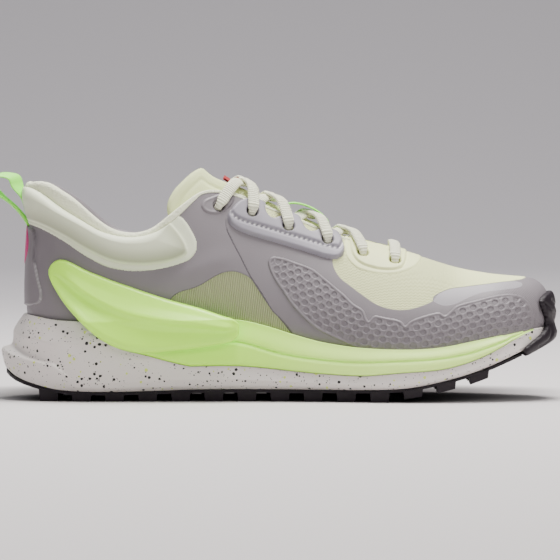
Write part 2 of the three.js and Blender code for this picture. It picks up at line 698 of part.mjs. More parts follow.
// The support wing leans on the upper above and stands clear of the sole's ribs below.
const ray = new THREE.Raycaster();
lastSkin.computeBoundingSphere();
const lastTarget = new THREE.Mesh(lastSkin, new THREE.MeshBasicMaterial({ side: THREE.DoubleSide }));
function lastHalfWidth(x, z, side) {
  ray.set(new THREE.Vector3(x, side * farOut, z), new THREE.Vector3(0, -side, 0));
  const hit = ray.intersectObject(lastTarget)[0];
  return hit ? side * hit.point.y : 0;
}
const wingRows = [
  [0, 0.3],
  [0.14, 0.35],
  [0.32, -0.1],
  [0.55, 1],
  [0.75, 0],
  [1, -0.8],
];
const wingLean = 0.45;
const blendWidth = 4;
const soften = (a, b) => {
  const f = clamp(0.5 + (a - b) / (2 * blendWidth), 0, 1);
  return b + (a - b) * f + blendWidth * f * (1 - f);
};
function wing(side) {
  const positions = [];
  const index = [];
  const rows = wingRows.length;
  for (const { at, top, low } of wingLines) {
    const x = lengthAt(at);
    const reachAt = (share, relief) => {
      const z = heightAt(low + (top - low) * share);
      const overRim = Math.max(0, z - heightAt(read(sideLines, "at", "rim", at)));
      const fromSole = side * halfWidthAt(x, side) + crestOut - wingLean * overRim;
      const base = soften(lastHalfWidth(x, z, side), fromSole) + 2 * fit;
      return [x, side * (base + relief), z];
    };
    for (const [share] of wingRows) positions.push(...reachAt(share, 0));
    for (const [share, relief] of wingRows)
      positions.push(...reachAt(share, wingThickness + wingRelief * relief));
  }
  const count = 2 * rows;
  const loop = [...Array(rows).keys(), ...[...Array(rows).keys()].reverse().map((k) => k + rows)];
  const add = (a, b, c) => (side > 0 ? index.push(a, b, c) : index.push(a, c, b));
  for (let i = 0; i < wingLines.length - 1; i++)
    for (let k = 0; k < count; k++) {
      const a = i * count + loop[k];
      const b = i * count + loop[(k + 1) % count];
      add(a, a + count, b);
      add(b, a + count, b + count);
    }
  const last = (wingLines.length - 1) * count;
  for (let k = 0; k < rows - 1; k++) {
    add(k, k + 1, k + rows);
    add(k + 1, k + 1 + rows, k + rows);
    add(last + k, last + k + rows, last + k + 1);
    add(last + k + 1, last + k + rows, last + k + 1 + rows);
  }
  return solid(joined(positions, index));
}

// The pull loop at the heel: a webbing teardrop with an open eye.
function pullLoop() {
  const half = loopWidth / 2;
  const eye = prism(loopEye, -half - 1, half + 1, { divisions: 2 });
  const band = prism(loopOutline, -half, half, { divisions: 2 }).subtract(eye);
  return largest(band.subtract(lastForm(cuffThickness + 2 * fit)));
}

// A strip swept along points, each with its outward normal.
function strip(points, normals, width, thickness) {
  const corners = [[0.5, 0.5], [-0.5, 0.5], [-0.5, -0.5], [0.5, -0.5]];
  const count = corners.length;
  const positions = [];
  const index = [];
  points.forEach((point, i) => {
    const next = points[Math.min(i + 1, points.length - 1)];
    const along = next.clone().sub(points[Math.max(i - 1, 0)]).normalize();
    const sideways = along.clone().cross(normals[i]).normalize();
    const up = sideways.clone().cross(along).normalize();
    for (const [a, b] of corners)
      positions.push(
        ...point.clone().addScaledVector(sideways, a * width).addScaledVector(up, b * thickness).toArray(),
      );
  });
  for (let i = 0; i < points.length - 1; i++)
    for (let k = 0; k < count; k++) {
      const n = (k + 1) % count;
      const a = i * count;
      index.push(a + k, a + k + count, a + n, a + n, a + k + count, a + n + count);
    }
  const last = (points.length - 1) * count;
  for (let k = 1; k < count - 1; k++) {
    index.push(0, k, k + 1);
    index.push(last, last + k + 1, last + k);
  }
  return solid(joined(positions, index));
}

// One lace strand over the throat, from over an eyelet to over another one or to under the far stay.
const laceSteps = 9;
const laceClear = 0.45;
const restOver = (row) => {
  const stays = [0, stayThickness, stayThickness, stayThickness, vampStayThickness, vampStayThickness];
  const cover = stays[row] > 0 ? clearance + stays[row] : 0;
  return cover + laceClear + laceThickness / 2;
};
const throatRest = -1.2;
const topLean = 1.7;
function strand(from, to, lift) {
  const lean = to.row === 0 ? topLean : 1;
  const start = eyeletAxis(eyelets[from.row], from.side);
  const end = eyeletAxis(eyelets[to.row], to.side);
  const samplesAlong = [];
  const fine = 60;
  for (let k = 0; k <= fine; k++) {
    const share = k / fine;
    const across = -(1 - start.turn) + share * (2 - start.turn - end.turn);
    const s = Math.abs(start.s) + (Math.abs(end.s) - Math.abs(start.s)) * share ** lean;
    const side = (across < 0 ? 1 : -1) * from.side;
    const turn = 1 - Math.abs(across);
    const spot = lastPoint(side * s, turn);
    const edge = heightAt(readLine(collarLine, spot.x / shoeLength + 0.5));
    const open = spot.z > edge && spot.x < lengthAt(throatFront);
    samplesAlong.push({ spot, normal: outwardAt(side * s, turn), open });
  }
  let arc = 0;
  samplesAlong.forEach((sample, k) => {
    if (k) arc += sample.spot.distanceTo(samplesAlong[k - 1].spot);
    sample.arc = arc;
  });
  const openOnes = samplesAlong.filter((sample) => sample.open);
  const opens = openOnes.length ? openOnes[0].arc : arc / 2;
  const closes = openOnes.length ? openOnes[openOnes.length - 1].arc : arc / 2;
  const stop = to.under ? closes - laceWidth * 0.55 : arc;
  const points = [];
  const normals = [];
  for (let k = 0; k <= laceSteps; k++) {
    const here = (stop * k) / laceSteps;
    let i = 1;
    while (i < fine && samplesAlong[i].arc < here) i++;
    const a = samplesAlong[i - 1];
    const b = samplesAlong[i];
    const f = (here - a.arc) / Math.max(b.arc - a.arc, 1e-6);
    const spot = a.spot.clone().lerp(b.spot, f);
    const normal = a.normal.clone().lerp(b.normal, f).normalize();
    const middle = throatRest + lift;
    const span = Math.max((closes - opens) / 2, 4);
    let out = middle;
    if (here < opens + 2) out = restOver(from.row);
    else if (here < opens + span) {
      const drop = smoothStep((here - opens - 2) / (span - 2));
      out = restOver(from.row) + (middle - restOver(from.row)) * drop;
    } else if (!to.under) {
      const climb = smoothStep((here - opens - span) / (closes - 2 - opens - span));
      out = middle + (restOver(to.row) - middle) * climb;
    } else {
      const sink = smoothStep((here - opens - span) / (stop - opens - span));
      out = middle + (throatRest - 0.1 - middle) * sink;
    }
    points.push(spot.addScaledVector(normal, out));
    normals.push(normal);
  }
  return strip(points, normals, laceWidth, laceThickness);
}
function crossing(row) {
  const under = row - 1 > 0;
  const over = laceThickness * 0.9;
  return strand({ row, side: -1 }, { row: row - 1, side: 1, under }, over).add(
    strand({ row, side: 1 }, { row: row - 1, side: -1, under }, 0),
  );
}

// The lace keeper: a strap along the tongue that arches over one lace crossing.
const keeperStart = 0.51;
const keeperEnd = 0.586;
const keeperRise = 5;
function keeper() {
  const points = [];
  const normals = [];
  for (let k = 0; k <= 10; k++) {
    const x = lengthAt(keeperStart + ((keeperEnd - keeperStart) * k) / 10);
    let low = 0;
    let high = toeRib;
    for (let n = 0; n < 30; n++) {
      const middle = (low + high) / 2;
      if (lastPoint(middle, 1).x < x) low = middle;
      else high = middle;
    }
    const lift = keeperRise * Math.sin((Math.PI * k) / 10) ** 0.4;
    const rest = tongueOut + fit + keeperThickness / 2 + 0.2;
    const normal = new THREE.Vector3(0.3, 0, 1).normalize();
    const out = rest + (lift * (keeperRise - rest)) / keeperRise;
    points.push(lastPoint(low, 1).addScaledVector(normal, out));
    normals.push(normal);
  }
  const strap = strip(points, normals, keeperWidth, keeperThickness);
  return largest(strap.subtract(lastForm(tongueOut + fit)));
}

const finish = {
  rubber: { color: 0x38303a, roughness: 0.75 },
  foam: { color: 0xd8d4d2, roughness: 0.7 },
  lime: { color: 0xcfe6a4, roughness: 0.55 },
  mesh: { color: 0xd9dcc0, roughness: 0.9 },
  padding: { color: 0xd2d6c2, roughness: 0.9 },
  film: { color: 0x9c969e, roughness: 0.5 },
  lace: { color: 0xe6e4d2, roughness: 0.95 },
  mint: { color: 0xb6ef9a, roughness: 0.85 },
};
// Cuts leave some edges too short to matter: their ends are drawn together.
const shortestEdge = 0.04;
function withoutSlivers(geometry) {
  const p = geometry.attributes.position;
  const from = geometry.index.array;
  const home = Array.from({ length: p.count }, (_, i) => i);
  const find = (i) => (home[i] === i ? i : (home[i] = find(home[i])));
  const a = new THREE.Vector3();
  const b = new THREE.Vector3();
  for (let i = 0; i < from.length; i++) {
    const next = i % 3 === 2 ? i - 2 : i + 1;
    a.fromBufferAttribute(p, from[i]);
    b.fromBufferAttribute(p, from[next]);
    if (a.distanceTo(b) < shortestEdge) home[find(from[i])] = find(from[next]);
  }
  const faces = new Map();
  for (let i = 0; i < from.length; i += 3) {
    const face = [from[i], from[i + 1], from[i + 2]].map(find);
    if (new Set(face).size < 3) continue;
    const key = face.slice().sort((m, n) => m - n).join();
    if (faces.has(key)) faces.delete(key);
    else faces.set(key, face);
  }
  const kept = geometry.clone();
  kept.setIndex([...faces.values()].flat());
  return geometryOf(largest(solid(kept)));
}

const shoe = new THREE.Group();
function addPiece(name, made, look) {
  const mesh = new THREE.Mesh(withoutSlivers(geometryOf(made)), new THREE.MeshStandardMaterial(look));
  mesh.name = name;
  shoe.add(mesh);
}
addPiece("outsole", outsole, finish.rubber);
addPiece("toe_bumper", toeBumper, finish.rubber);
addPiece("midsole", midsole, finish.foam);
addPiece("carrier", carrier, finish.lime);
addPiece("insole", solid(insoleSkin), finish.padding);
addPiece("upper", upper, finish.mesh);
addPiece("tongue", tongue, finish.mesh);
addPiece("collar_cuff", cuff, finish.padding);
addPiece("heel_tab", heelTab, finish.film);
addPiece("eyestay_medial", stay(-farOut, 0), finish.film);
addPiece("eyestay_lateral", stay(0, farOut), finish.film);
addPiece("vamp_stay", vampStay, finish.mesh);
addPiece("wing_medial", wing(-1), finish.lime);
addPiece("wing_lateral", wing(1), finish.lime);
addPiece("pull_loop", pullLoop(), finish.mint);
addPiece("lace_keeper", keeper(), finish.mint);
const frontRow = eyelets.length - 1;
const frontBar = strand({ row: frontRow, side: -1 }, { row: frontRow, side: 1 }, restOver(frontRow) - throatRest);
addPiece("lace_bar", frontBar, finish.lace);
for (let row = 4; row > 0; row--) addPiece(`lace_cross_${5 - row}`, crossing(row), finish.lace);

export default shoe;
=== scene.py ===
import math
import bpy
import numpy as np
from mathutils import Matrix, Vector
from mathutils.kdtree import KDTree


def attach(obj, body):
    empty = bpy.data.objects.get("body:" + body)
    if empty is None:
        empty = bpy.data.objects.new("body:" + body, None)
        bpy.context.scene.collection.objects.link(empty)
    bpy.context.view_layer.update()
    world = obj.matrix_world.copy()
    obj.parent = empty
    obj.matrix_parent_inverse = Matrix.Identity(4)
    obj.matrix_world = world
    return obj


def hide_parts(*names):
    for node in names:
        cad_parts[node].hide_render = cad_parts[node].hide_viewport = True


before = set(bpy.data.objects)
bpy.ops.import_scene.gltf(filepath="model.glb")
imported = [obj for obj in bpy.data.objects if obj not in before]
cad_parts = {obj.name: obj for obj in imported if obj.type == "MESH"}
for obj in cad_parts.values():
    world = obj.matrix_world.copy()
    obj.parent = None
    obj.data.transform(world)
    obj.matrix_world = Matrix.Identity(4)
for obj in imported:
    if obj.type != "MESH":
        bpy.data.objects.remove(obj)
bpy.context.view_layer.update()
mm = 0.001
print("frame loaded:", len(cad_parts), "nodes")

# The shoe's own sizes in millimetres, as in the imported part
shoe = dict(
    length=290.0, ballWidth=104.0, collarHeight=114.0, wall=2.2, padding=5.5,
    footFlare=3.6, footBulge=3.0, bulgeHeight=24.0, sideRelief=10.0, throatFront=0.722,
)
# at, medial, lateral, inset, seat, ridgeAt, ridge, square, flare: shares, heel to toe
ribNames = ("at", "medial", "lateral", "inset", "seat", "ridgeAt", "ridge", "square", "flare")
ribRows = [
    (0.0, 0.0, 0.0, 0.15, 0.285, 0.16, 1.5, 3.4, 1.0),
    (0.009, 0.135, 0.135, 0.14, 0.285, 0.165, 1.5, 3.4, 0.8),
    (0.036, 0.255, 0.255, 0.11, 0.285, 0.175, 1.49, 3.3, 0.4),
    (0.079, 0.332, 0.332, 0.092, 0.281, 0.195, 1.47, 3.1, 0.1),
    (0.138, 0.368, 0.37, 0.077, 0.276, 0.22, 1.42, 2.9, 0.0),
    (0.224, 0.366, 0.38, 0.072, 0.272, 0.26, 1.34, 2.7, 0.0),
    (0.328, 0.354, 0.38, 0.07, 0.27, 0.338, 1.16, 2.3, 0.0),
    (0.448, 0.35, 0.404, 0.068, 0.256, 0.45, 0.968, 1.9, 0.0),
    (0.569, 0.392, 0.466, 0.066, 0.216, 0.568, 0.826, 1.78, 0.0),
    (0.672, 0.46, 0.519, 0.062, 0.19, 0.668, 0.717, 1.8, 0.0),
    (0.759, 0.481, 0.51, 0.058, 0.19, 0.748, 0.652, 2.0, 0.0),
    (0.845, 0.447, 0.433, 0.053, 0.218, 0.812, 0.6, 2.35, 0.0),
    (0.914, 0.37, 0.317, 0.038, 0.252, 0.856, 0.574, 2.9, 0.0),
    (0.955, 0.279, 0.197, 0.033, 0.27, 0.884, 0.564, 3.2, 0.0),
    (0.979, 0.173, 0.077, 0.028, 0.279, 0.902, 0.56, 3.5, 0.0),
    (0.986, 0.058, -0.058, 0.026, 0.283, 0.912, 0.558, 3.6, 0.0),
]
# at, bottom, step, rim: heights; tuck, stepIn, upperIn, rimIn: how far each level stands in
sideNames = ("at", "bottom", "step", "rim", "tuck", "stepIn", "upperIn", "rimIn")
sideRows = [
    (0.0, 0.152, 0.282, 0.388, 0.15, 0.5, 0.42, 1.15),
    (0.022, 0.112, 0.27, 0.386, 0.2, 0.42, 0.3, 0.9),
    (0.045, 0.088, 0.252, 0.383, 0.25, 0.34, 0.16, 0.68),
    (0.091, 0.059, 0.196, 0.368, 0.3, 0.2, 0.06, 0.45),
    (0.137, 0.047, 0.11, 0.362, 0.3, 0.05, 0.05, 0.35),
    (0.2, 0.044, 0.095, 0.362, 0.3, 0.0, 0.05, 0.3),
    (0.27, 0.048, 0.092, 0.363, 0.3, 0.0, 0.05, 0.3),
    (0.34, 0.054, 0.09, 0.367, 0.3, 0.0, 0.05, 0.3),
    (0.423, 0.056, 0.085, 0.368, 0.3, 0.0, 0.05, 0.3),
    (0.473, 0.056, 0.08, 0.341, 0.3, 0.0, 0.05, 0.3),
    (0.523, 0.056, 0.078, 0.301, 0.3, 0.0, 0.05, 0.28),
    (0.574, 0.056, 0.078, 0.267, 0.3, 0.0, 0.05, 0.26),
    (0.636, 0.056, 0.08, 0.245, 0.3, 0.0, 0.05, 0.25),
    (0.717, 0.064, 0.094, 0.238, 0.3, 0.0, 0.05, 0.25),
    (0.782, 0.093, 0.118, 0.247, 0.3, 0.0, 0.05, 0.24),
    (0.852, 0.142, 0.168, 0.279, 0.3, 0.0, 0.05, 0.22),
    (0.92, 0.212, 0.238, 0.313, 0.25, 0.0, 0.05, 0.2),
    (0.986, 0.29, 0.305, 0.338, 0.15, 0.0, 0.03, 0.15),
]
seamLine = [
    (0.128, 0.395), (0.143, 0.362), (0.159, 0.33), (0.182, 0.285), (0.206, 0.248), (0.229, 0.228),
    (0.263, 0.208), (0.297, 0.184), (0.342, 0.158), (0.423, 0.128), (0.473, 0.116), (0.548, 0.11),
    (0.624, 0.114), (0.717, 0.134), (0.782, 0.148), (0.829, 0.177), (0.875, 0.224), (0.92, 0.287),
    (0.943, 0.319), (0.958, 0.348),
]
grooveLine = [
    (0.143, 0.352), (0.2, 0.315), (0.3, 0.3), (0.423, 0.272), (0.498, 0.221), (0.548, 0.199),
    (0.624, 0.183), (0.717, 0.189), (0.782, 0.2), (0.839, 0.226), (0.908, 0.285), (0.943, 0.322),
]
collarLine = [
    (0.034, 0.972), (0.058, 0.998), (0.086, 0.992), (0.114, 0.954), (0.136, 0.918), (0.182, 0.82),
    (0.205, 0.785), (0.228, 0.77), (0.251, 0.771), (0.274, 0.791), (0.301, 0.838), (0.344, 0.924),
    (0.362, 0.95), (0.384, 0.957), (0.424, 0.94), (0.475, 0.886), (0.52, 0.84), (0.574, 0.782),
    (0.618, 0.74), (0.663, 0.705), (0.7, 0.683),
]
eyelets = [(0.392, 0.879), (0.45, 0.849), (0.515, 0.782), (0.584, 0.721), (0.647, 0.665), (0.704, 0.629)]

rib = {name: np.array([row[k] for row in ribRows]) for k, name in enumerate(ribNames)}
side = {name: np.array([row[k] for row in sideRows]) for k, name in enumerate(sideNames)}
toeRib = len(ribRows) - 1


def lengthAt(share):
    return (np.asarray(share, float) - 0.5) * shoe["length"]


def heightAt(share):
    return np.asarray(share, float) * shoe["collarHeight"]


def shareAt(x):
    return x / shoe["length"] + 0.5


def smoothStep(value):
    f = np.clip(value, 0, 1)
    return f * f * (3 - 2 * f)


def along(keys, values, x):
    keys, values = np.asarray(keys, float), np.asarray(values, float)
    slope = np.empty(len(keys))
    slope[1:-1] = (values[2:] - values[:-2]) / (keys[2:] - keys[:-2])
    slope[0] = (values[1] - values[0]) / (keys[1] - keys[0])
    slope[-1] = (values[-1] - values[-2]) / (keys[-1] - keys[-2])
    x = np.clip(x, keys[0], keys[-1])
    i = np.clip(np.searchsorted(keys, x, "right") - 1, 0, len(keys) - 2)
    width = keys[i + 1] - keys[i]
    f = (x - keys[i]) / width
    bend = slope[i] * width * f * (1 - f) ** 2 - slope[i + 1] * width * f * f * (1 - f)
    return values[i] + (values[i + 1] - values[i]) * f * f * (3 - 2 * f) + bend


def alongLine(line, at):
    return along([p[0] for p in line], [p[1] for p in line], at)


def alongSide(name, at):
    return along(side["at"], side[name], at)


def ribValue(name, index):
    folded = (index + toeRib) % (2 * toeRib) - toeRib
    if name != "across":
        return rib[name][np.abs(folded)]
    return np.where(folded < 0, -rib["medial"][np.abs(folded)], rib["lateral"][np.abs(folded)])


def around(name, s):
    i = np.floor(s).astype(int)
    f = s - i
    a, b, c, d = (ribValue(name, i + k) for k in (-1, 0, 1, 2))
    return 0.5 * (2 * b + (c - a) * f + (2 * a - 5 * b + 4 * c - d) * f**2 + (3 * b - a - 3 * c + d) * f**3)


def planPoint(s, standIn=0.0):
    step = 0.01
    x, y = lengthAt(around("at", s)), shoe["ballWidth"] * around("across", s)
    dx = lengthAt(around("at", s + step)) - lengthAt(around("at", s - step))
    dy = shoe["ballWidth"] * (around("across", s + step) - around("across", s - step))
    run = np.hypot(dx, dy)
    nx, ny = -dy / run, dx / run
    return x - nx * standIn, y - ny * standIn, nx, ny


def lastPoint(s, turn):
    footX, footY, nx, ny = planPoint(s, shoe["ballWidth"] * around("inset", s))
    seat, top = heightAt(around("seat", s)), heightAt(around("ridge", s))
    ridgeX = lengthAt(around("ridgeAt", s))
    ridgeY = 0.6 * shoe["ballWidth"] * (around("across", s) + around("across", -s)) / 2
    power = 2 / around("square", s)
    angle = np.clip(turn, 0, 1) * math.pi / 2
    inward = np.maximum(np.cos(angle), 0) ** power
    z = seat + (top - seat) * np.sin(angle) ** power
    lift = (z - seat) / shoe["bulgeHeight"]
    bulge = shoe["footBulge"] * lift * np.exp(1 - lift) * inward
    flareRise = (z - heightAt(0.8)) / heightAt(0.17)
    out = bulge + shoe["footFlare"] * around("flare", s) * smoothStep(flareRise) * inward
    x = ridgeX + (footX - ridgeX) * inward + nx * out
    y = ridgeY + (footY - ridgeY) * inward + ny * out
    return np.stack(np.broadcast_arrays(x, y, z), -1)


def outwardAt(s, turn):
    near = np.clip(turn, 0.011, 0.985)
    alongRib = lastPoint(s + 0.05, near) - lastPoint(s - 0.05, near)
    upWall = lastPoint(s, near + 0.01) - lastPoint(s, near - 0.01)
    normal = np.cross(upWall, alongRib)
    normal /= np.linalg.norm(normal, axis=-1, keepdims=True)
    point = lastPoint(s, turn)
    centre = lastPoint(s, np.ones_like(turn))
    centre[..., 2] = heightAt(around("seat", s)) + 0 * centre[..., 2]
    flip = np.sum(normal * (point - centre), -1, keepdims=True) < 0
    return np.where(flip, -normal, normal)


def edgeTurn(s, drop=0.0):
    def over(turn):
        point = lastPoint(s, turn)
        return point[..., 2] - heightAt(alongLine(collarLine, shareAt(point[..., 0]))) + drop
    low, high = np.zeros_like(s), np.ones_like(s)
    for _ in range(28):
        middle = (low + high) / 2
        below = over(middle) < 0
        low, high = np.where(below, middle, low), np.where(below, high, middle)
    ridge = lastPoint(s, np.ones_like(s))
    closed = (ridge[..., 0] > lengthAt(shoe["throatFront"])) | (over(np.ones_like(s)) < 0)
    return np.where(closed, 1.0, low)


def columnsAround(spacing, start=-toeRib, end=toeRib, turn=0.45):
    fine = np.linspace(start, end, 3000)
    path = lastPoint(fine, np.full_like(fine, turn))
    run = np.concatenate([[0], np.cumsum(np.linalg.norm(np.diff(path, axis=0), axis=1))])
    count = int(run[-1] / spacing)
    return np.interp(np.linspace(0, run[-1], count + 1), run, fine)


def turnsUp(s, low, high, count):
    fine = np.linspace(0, 1, 140)[None, :]
    turn = low[:, None] + (high - low)[:, None] * fine
    path = lastPoint(s[:, None], turn)
    step = np.linalg.norm(np.diff(path, axis=1), axis=2)
    run = np.concatenate([np.zeros((len(s), 1)), np.cumsum(step, 1)], 1)
    want = np.linspace(0, 1, count)
    return np.stack([np.interp(want * r[-1], r, t) for r, t in zip(run, turn)])


def spotOnLast(at, height, sign):
    x, z = float(lengthAt(at)), float(heightAt(height))

    def ribFor(turn):
        low, high = 0.0, float(toeRib)
        for _ in range(26):
            middle = (low + high) / 2
            if lastPoint(np.array(middle), np.array(turn))[0] < x:
                low = middle
            else:
                high = middle
        return low
    low, high = 0.1, 0.999
    for _ in range(26):
        middle = (low + high) / 2
        if lastPoint(np.array(ribFor(middle)), np.array(middle))[2] < z:
            low = middle
        else:
            high = middle
    return sign * ribFor(low), low


def smoothLoop(points, divisions=8, closed=True):
    p = np.array([(lengthAt(a), heightAt(b)) for a, b in points], float)
    out = []
    count = len(p) if closed else len(p) - 1
    for i in range(count):
        if closed:
            a, b, c, d = (p[(i + k) % len(p)] for k in (-1, 0, 1, 2))
        else:
            a, b, c, d = p[max(i - 1, 0)], p[i], p[i + 1], p[min(i + 2, len(p) - 1)]
        knots = [0.0]
        for m, n in ((a, b), (b, c), (c, d)):
            knots.append(knots[-1] + max(np.linalg.norm(n - m), 1e-6) ** 0.5)
        t0, t1, t2, t3 = knots
        for t in np.linspace(t1, t2, divisions, endpoint=False):
            a1 = (t1 - t) / (t1 - t0) * a + (t - t0) / (t1 - t0) * b
            a2 = (t2 - t) / (t2 - t1) * b + (t - t1) / (t2 - t1) * c
            a3 = (t3 - t) / (t3 - t2) * c + (t - t2) / (t3 - t2) * d
            b1 = (t2 - t) / (t2 - t0) * a1 + (t - t0) / (t2 - t0) * a2
            b2 = (t3 - t) / (t3 - t1) * a2 + (t - t1) / (t3 - t1) * a3
            out.append((t2 - t) / (t2 - t1) * b1 + (t - t1) / (t2 - t1) * b2)
    if not closed:
        out.append(p[-1])
    return np.array(out)


def lineDistance(x, z, line, closed):
    shape = np.shape(x)
    q = np.stack([np.ravel(x), np.ravel(z)], 1)
    ends = np.roll(line, -1, 0) if closed else line[1:]
    starts = line if closed else line[:-1]
    best = np.full(len(q), 1e9)
    inside = np.zeros(len(q), bool)
    for a, b in zip(starts, ends):
        ab = b - a
        f = np.clip(((q - a) @ ab) / max(ab @ ab, 1e-9), 0, 1)
        best = np.minimum(best, np.hypot(*(q - a - f[:, None] * ab).T))
        if closed and a[1] != b[1]:
            crosses = (a[1] > q[:, 1]) != (b[1] > q[:, 1])
            inside ^= crosses & (q[:, 0] < (b[0] - a[0]) * (q[:, 1] - a[1]) / (b[1] - a[1]) + a[0])
    if closed:
        best = np.where(inside, best, -best)
    return best.reshape(shape)


def makeMesh(name, points, faces, fields=None):
    used = np.unique(faces)
    number = np.full(len(points), -1)
    number[used] = np.arange(len(used))
    mesh = bpy.data.meshes.new(name)
    mesh.from_pydata((points[used] * mm).tolist(), [], number[faces].tolist())
    mesh.shade_smooth()
    for field, values in (fields or {}).items():
        layer = mesh.attributes.new(field, "FLOAT", "POINT")
        layer.data.foreach_set("value", np.ascontiguousarray(values.reshape(-1)[used], np.float32))
    piece = bpy.data.objects.new(name, mesh)
    bpy.context.collection.objects.link(piece)
    return piece


def gridFaces(rows, columns, wrap=False, wrapColumns=False, keep=None):
    index = np.arange(rows * columns).reshape(rows, columns)
    here = index if wrap else index[:-1]
    there = np.roll(index, -1, 0) if wrap else index[1:]
    if wrapColumns:
        here = np.concatenate([here, here[:, :1]], 1)
        there = np.concatenate([there, there[:, :1]], 1)
    faces = np.stack([here[:, :-1], there[:, :-1], there[:, 1:], here[:, 1:]], -1).reshape(-1, 4)
    if keep is not None:
        faces = faces[keep.reshape(-1)[faces].any(1)]
    return faces


def settle(piece, material, slotName, *nodes):
    piece.data.materials.clear()
    piece.data.materials.append(material)
    if nodes:
        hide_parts(*nodes)
    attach(piece, "root")
    return piece

# A lookup from a place seen from the side, x and z, to the rib and turn of the last there
lookup = dict(margin=0.02, topTurn=0.99, ribs=260, turns=60)
fineRibs, fineTurns = np.meshgrid(
    np.linspace(lookup["margin"], toeRib - lookup["margin"], lookup["ribs"]),
    np.linspace(lookup["margin"], lookup["topTurn"], lookup["turns"]), indexing="ij",
)
finePlaces = lastPoint(fineRibs, fineTurns)
nearest = KDTree(fineRibs.size)
for k, (x, z) in enumerate(zip(finePlaces[..., 0].ravel(), finePlaces[..., 2].ravel())):
    nearest.insert((x, 0, z), k)
nearest.balance()


def ontoLast(x, z, sign):
    x, z = np.broadcast_arrays(np.asarray(x, float), np.asarray(z, float))
    found = np.array([nearest.find((a, 0, b))[1] for a, b in zip(x.ravel(), z.ravel())])
    s = fineRibs.ravel()[found].reshape(x.shape)
    turn = fineTurns.ravel()[found].reshape(x.shape)
    step = dict(s=0.01, turn=0.002)
    for _ in range(5):
        here = lastPoint(sign * s, turn)
        bySide = (lastPoint(sign * (s + step["s"]), turn) - here) / step["s"]
        byTurn = (lastPoint(sign * s, turn + step["turn"]) - here) / step["turn"]
        missX, missZ = x - here[..., 0], z - here[..., 2]
        scale = bySide[..., 0] * byTurn[..., 2] - byTurn[..., 0] * bySide[..., 2]
        scale = np.where(np.abs(scale) < 1, 1, scale)
        s = s + np.clip((missX * byTurn[..., 2] - missZ * byTurn[..., 0]) / scale, -0.3, 0.3)
        turn = turn + np.clip((missZ * bySide[..., 0] - missX * bySide[..., 2]) / scale, -0.1, 0.1)
        s, turn = np.clip(s, 0.0, toeRib), np.clip(turn, 0.0, 0.995)
    return sign * s, turn


def tone(red, green, blue):
    parts = [value / 255 for value in (red, green, blue)]
    return [p / 12.92 if p < 0.04045 else ((p + 0.055) / 1.055) ** 2.4 for p in parts]


# Small helpers that wire shader nodes: a value is a socket or a plain number
def plug(tree, socket, value):
    if isinstance(value, bpy.types.NodeSocket):
        tree.links.new(value, socket)
    elif value is not None:
        socket.default_value = value


def number(tree, operation, *values, clamp=False):
    node = tree.nodes.new("ShaderNodeMath")
    node.operation = operation
    node.use_clamp = clamp
    for socket, value in zip(node.inputs, values):
        plug(tree, socket, value)
    return node.outputs[0]


def ramp(tree, value, low, high, toLow=0.0, toHigh=1.0):
    node = tree.nodes.new("ShaderNodeMapRange")
    node.interpolation_type = "SMOOTHSTEP"
    for socket, part in zip(node.inputs, (value, low, high, toLow, toHigh)):
        plug(tree, socket, part)
    return node.outputs[0]


def blend(tree, share, first, second):
    node = tree.nodes.new("ShaderNodeMix")
    node.data_type = "RGBA"
    plug(tree, node.inputs["Factor"], share)
    for name, value in (("A", first), ("B", second)):
        socket = [s for s in node.inputs if s.name == name and s.type == "RGBA"][0]
        plug(tree, socket, (*value, 1) if isinstance(value, (list, tuple)) else value)
    return [s for s in node.outputs if s.type == "RGBA"][0]


def field(tree, name):
    node = tree.nodes.new("ShaderNodeAttribute")
    node.attribute_name = name
    return node.outputs["Fac"]


def place(tree):
    node = tree.nodes.new("ShaderNodeNewGeometry")
    return node.outputs["Position"]


def noise(tree, vector, scale, detail=2.0):
    node = tree.nodes.new("ShaderNodeTexNoise")
    plug(tree, node.inputs["Vector"], vector)
    node.inputs["Scale"].default_value = scale
    node.inputs["Detail"].default_value = detail
    return node.outputs[0]


def newGroup(name, inputs, outputs):
    group = bpy.data.node_groups.new(name, "ShaderNodeTree")
    for socket in inputs:
        kind = "NodeSocketVector" if socket == "Place" else "NodeSocketFloat"
        group.interface.new_socket(socket, in_out="INPUT", socket_type=kind)
    for socket in outputs:
        group.interface.new_socket(socket, in_out="OUTPUT", socket_type="NodeSocketFloat")
    inside = group.nodes.new("NodeGroupInput").outputs
    outside = group.nodes.new("NodeGroupOutput").inputs
    return group, inside, outside


def useGroup(tree, group, **values):
    node = tree.nodes.new("ShaderNodeGroup")
    node.node_tree = group
    for name, value in values.items():
        plug(tree, node.inputs[name], value)
    return node.outputs[0]


def knitGroup():
    group, inside, outside = newGroup("knit", ("Along", "Up", "Pitch"), ("Height",))
    across = number(group, "DIVIDE", inside["Along"], number(group, "MULTIPLY", inside["Pitch"], 2.4))
    zigzag = number(group, "PINGPONG", across, 0.5)
    rows = number(group, "ADD", number(group, "DIVIDE", inside["Up"], inside["Pitch"]), zigzag)
    wave = number(group, "SINE", number(group, "MULTIPLY", rows, 2 * math.pi))
    plug(group, outside["Height"], wave)
    return group


def rowGroup():
    group, inside, outside = newGroup("rows", ("Along", "Pitch"), ("Height",))
    turns = number(group, "MULTIPLY", number(group, "DIVIDE", inside["Along"], inside["Pitch"]), 2 * math.pi)
    plug(group, outside["Height"], number(group, "SINE", turns))
    return group


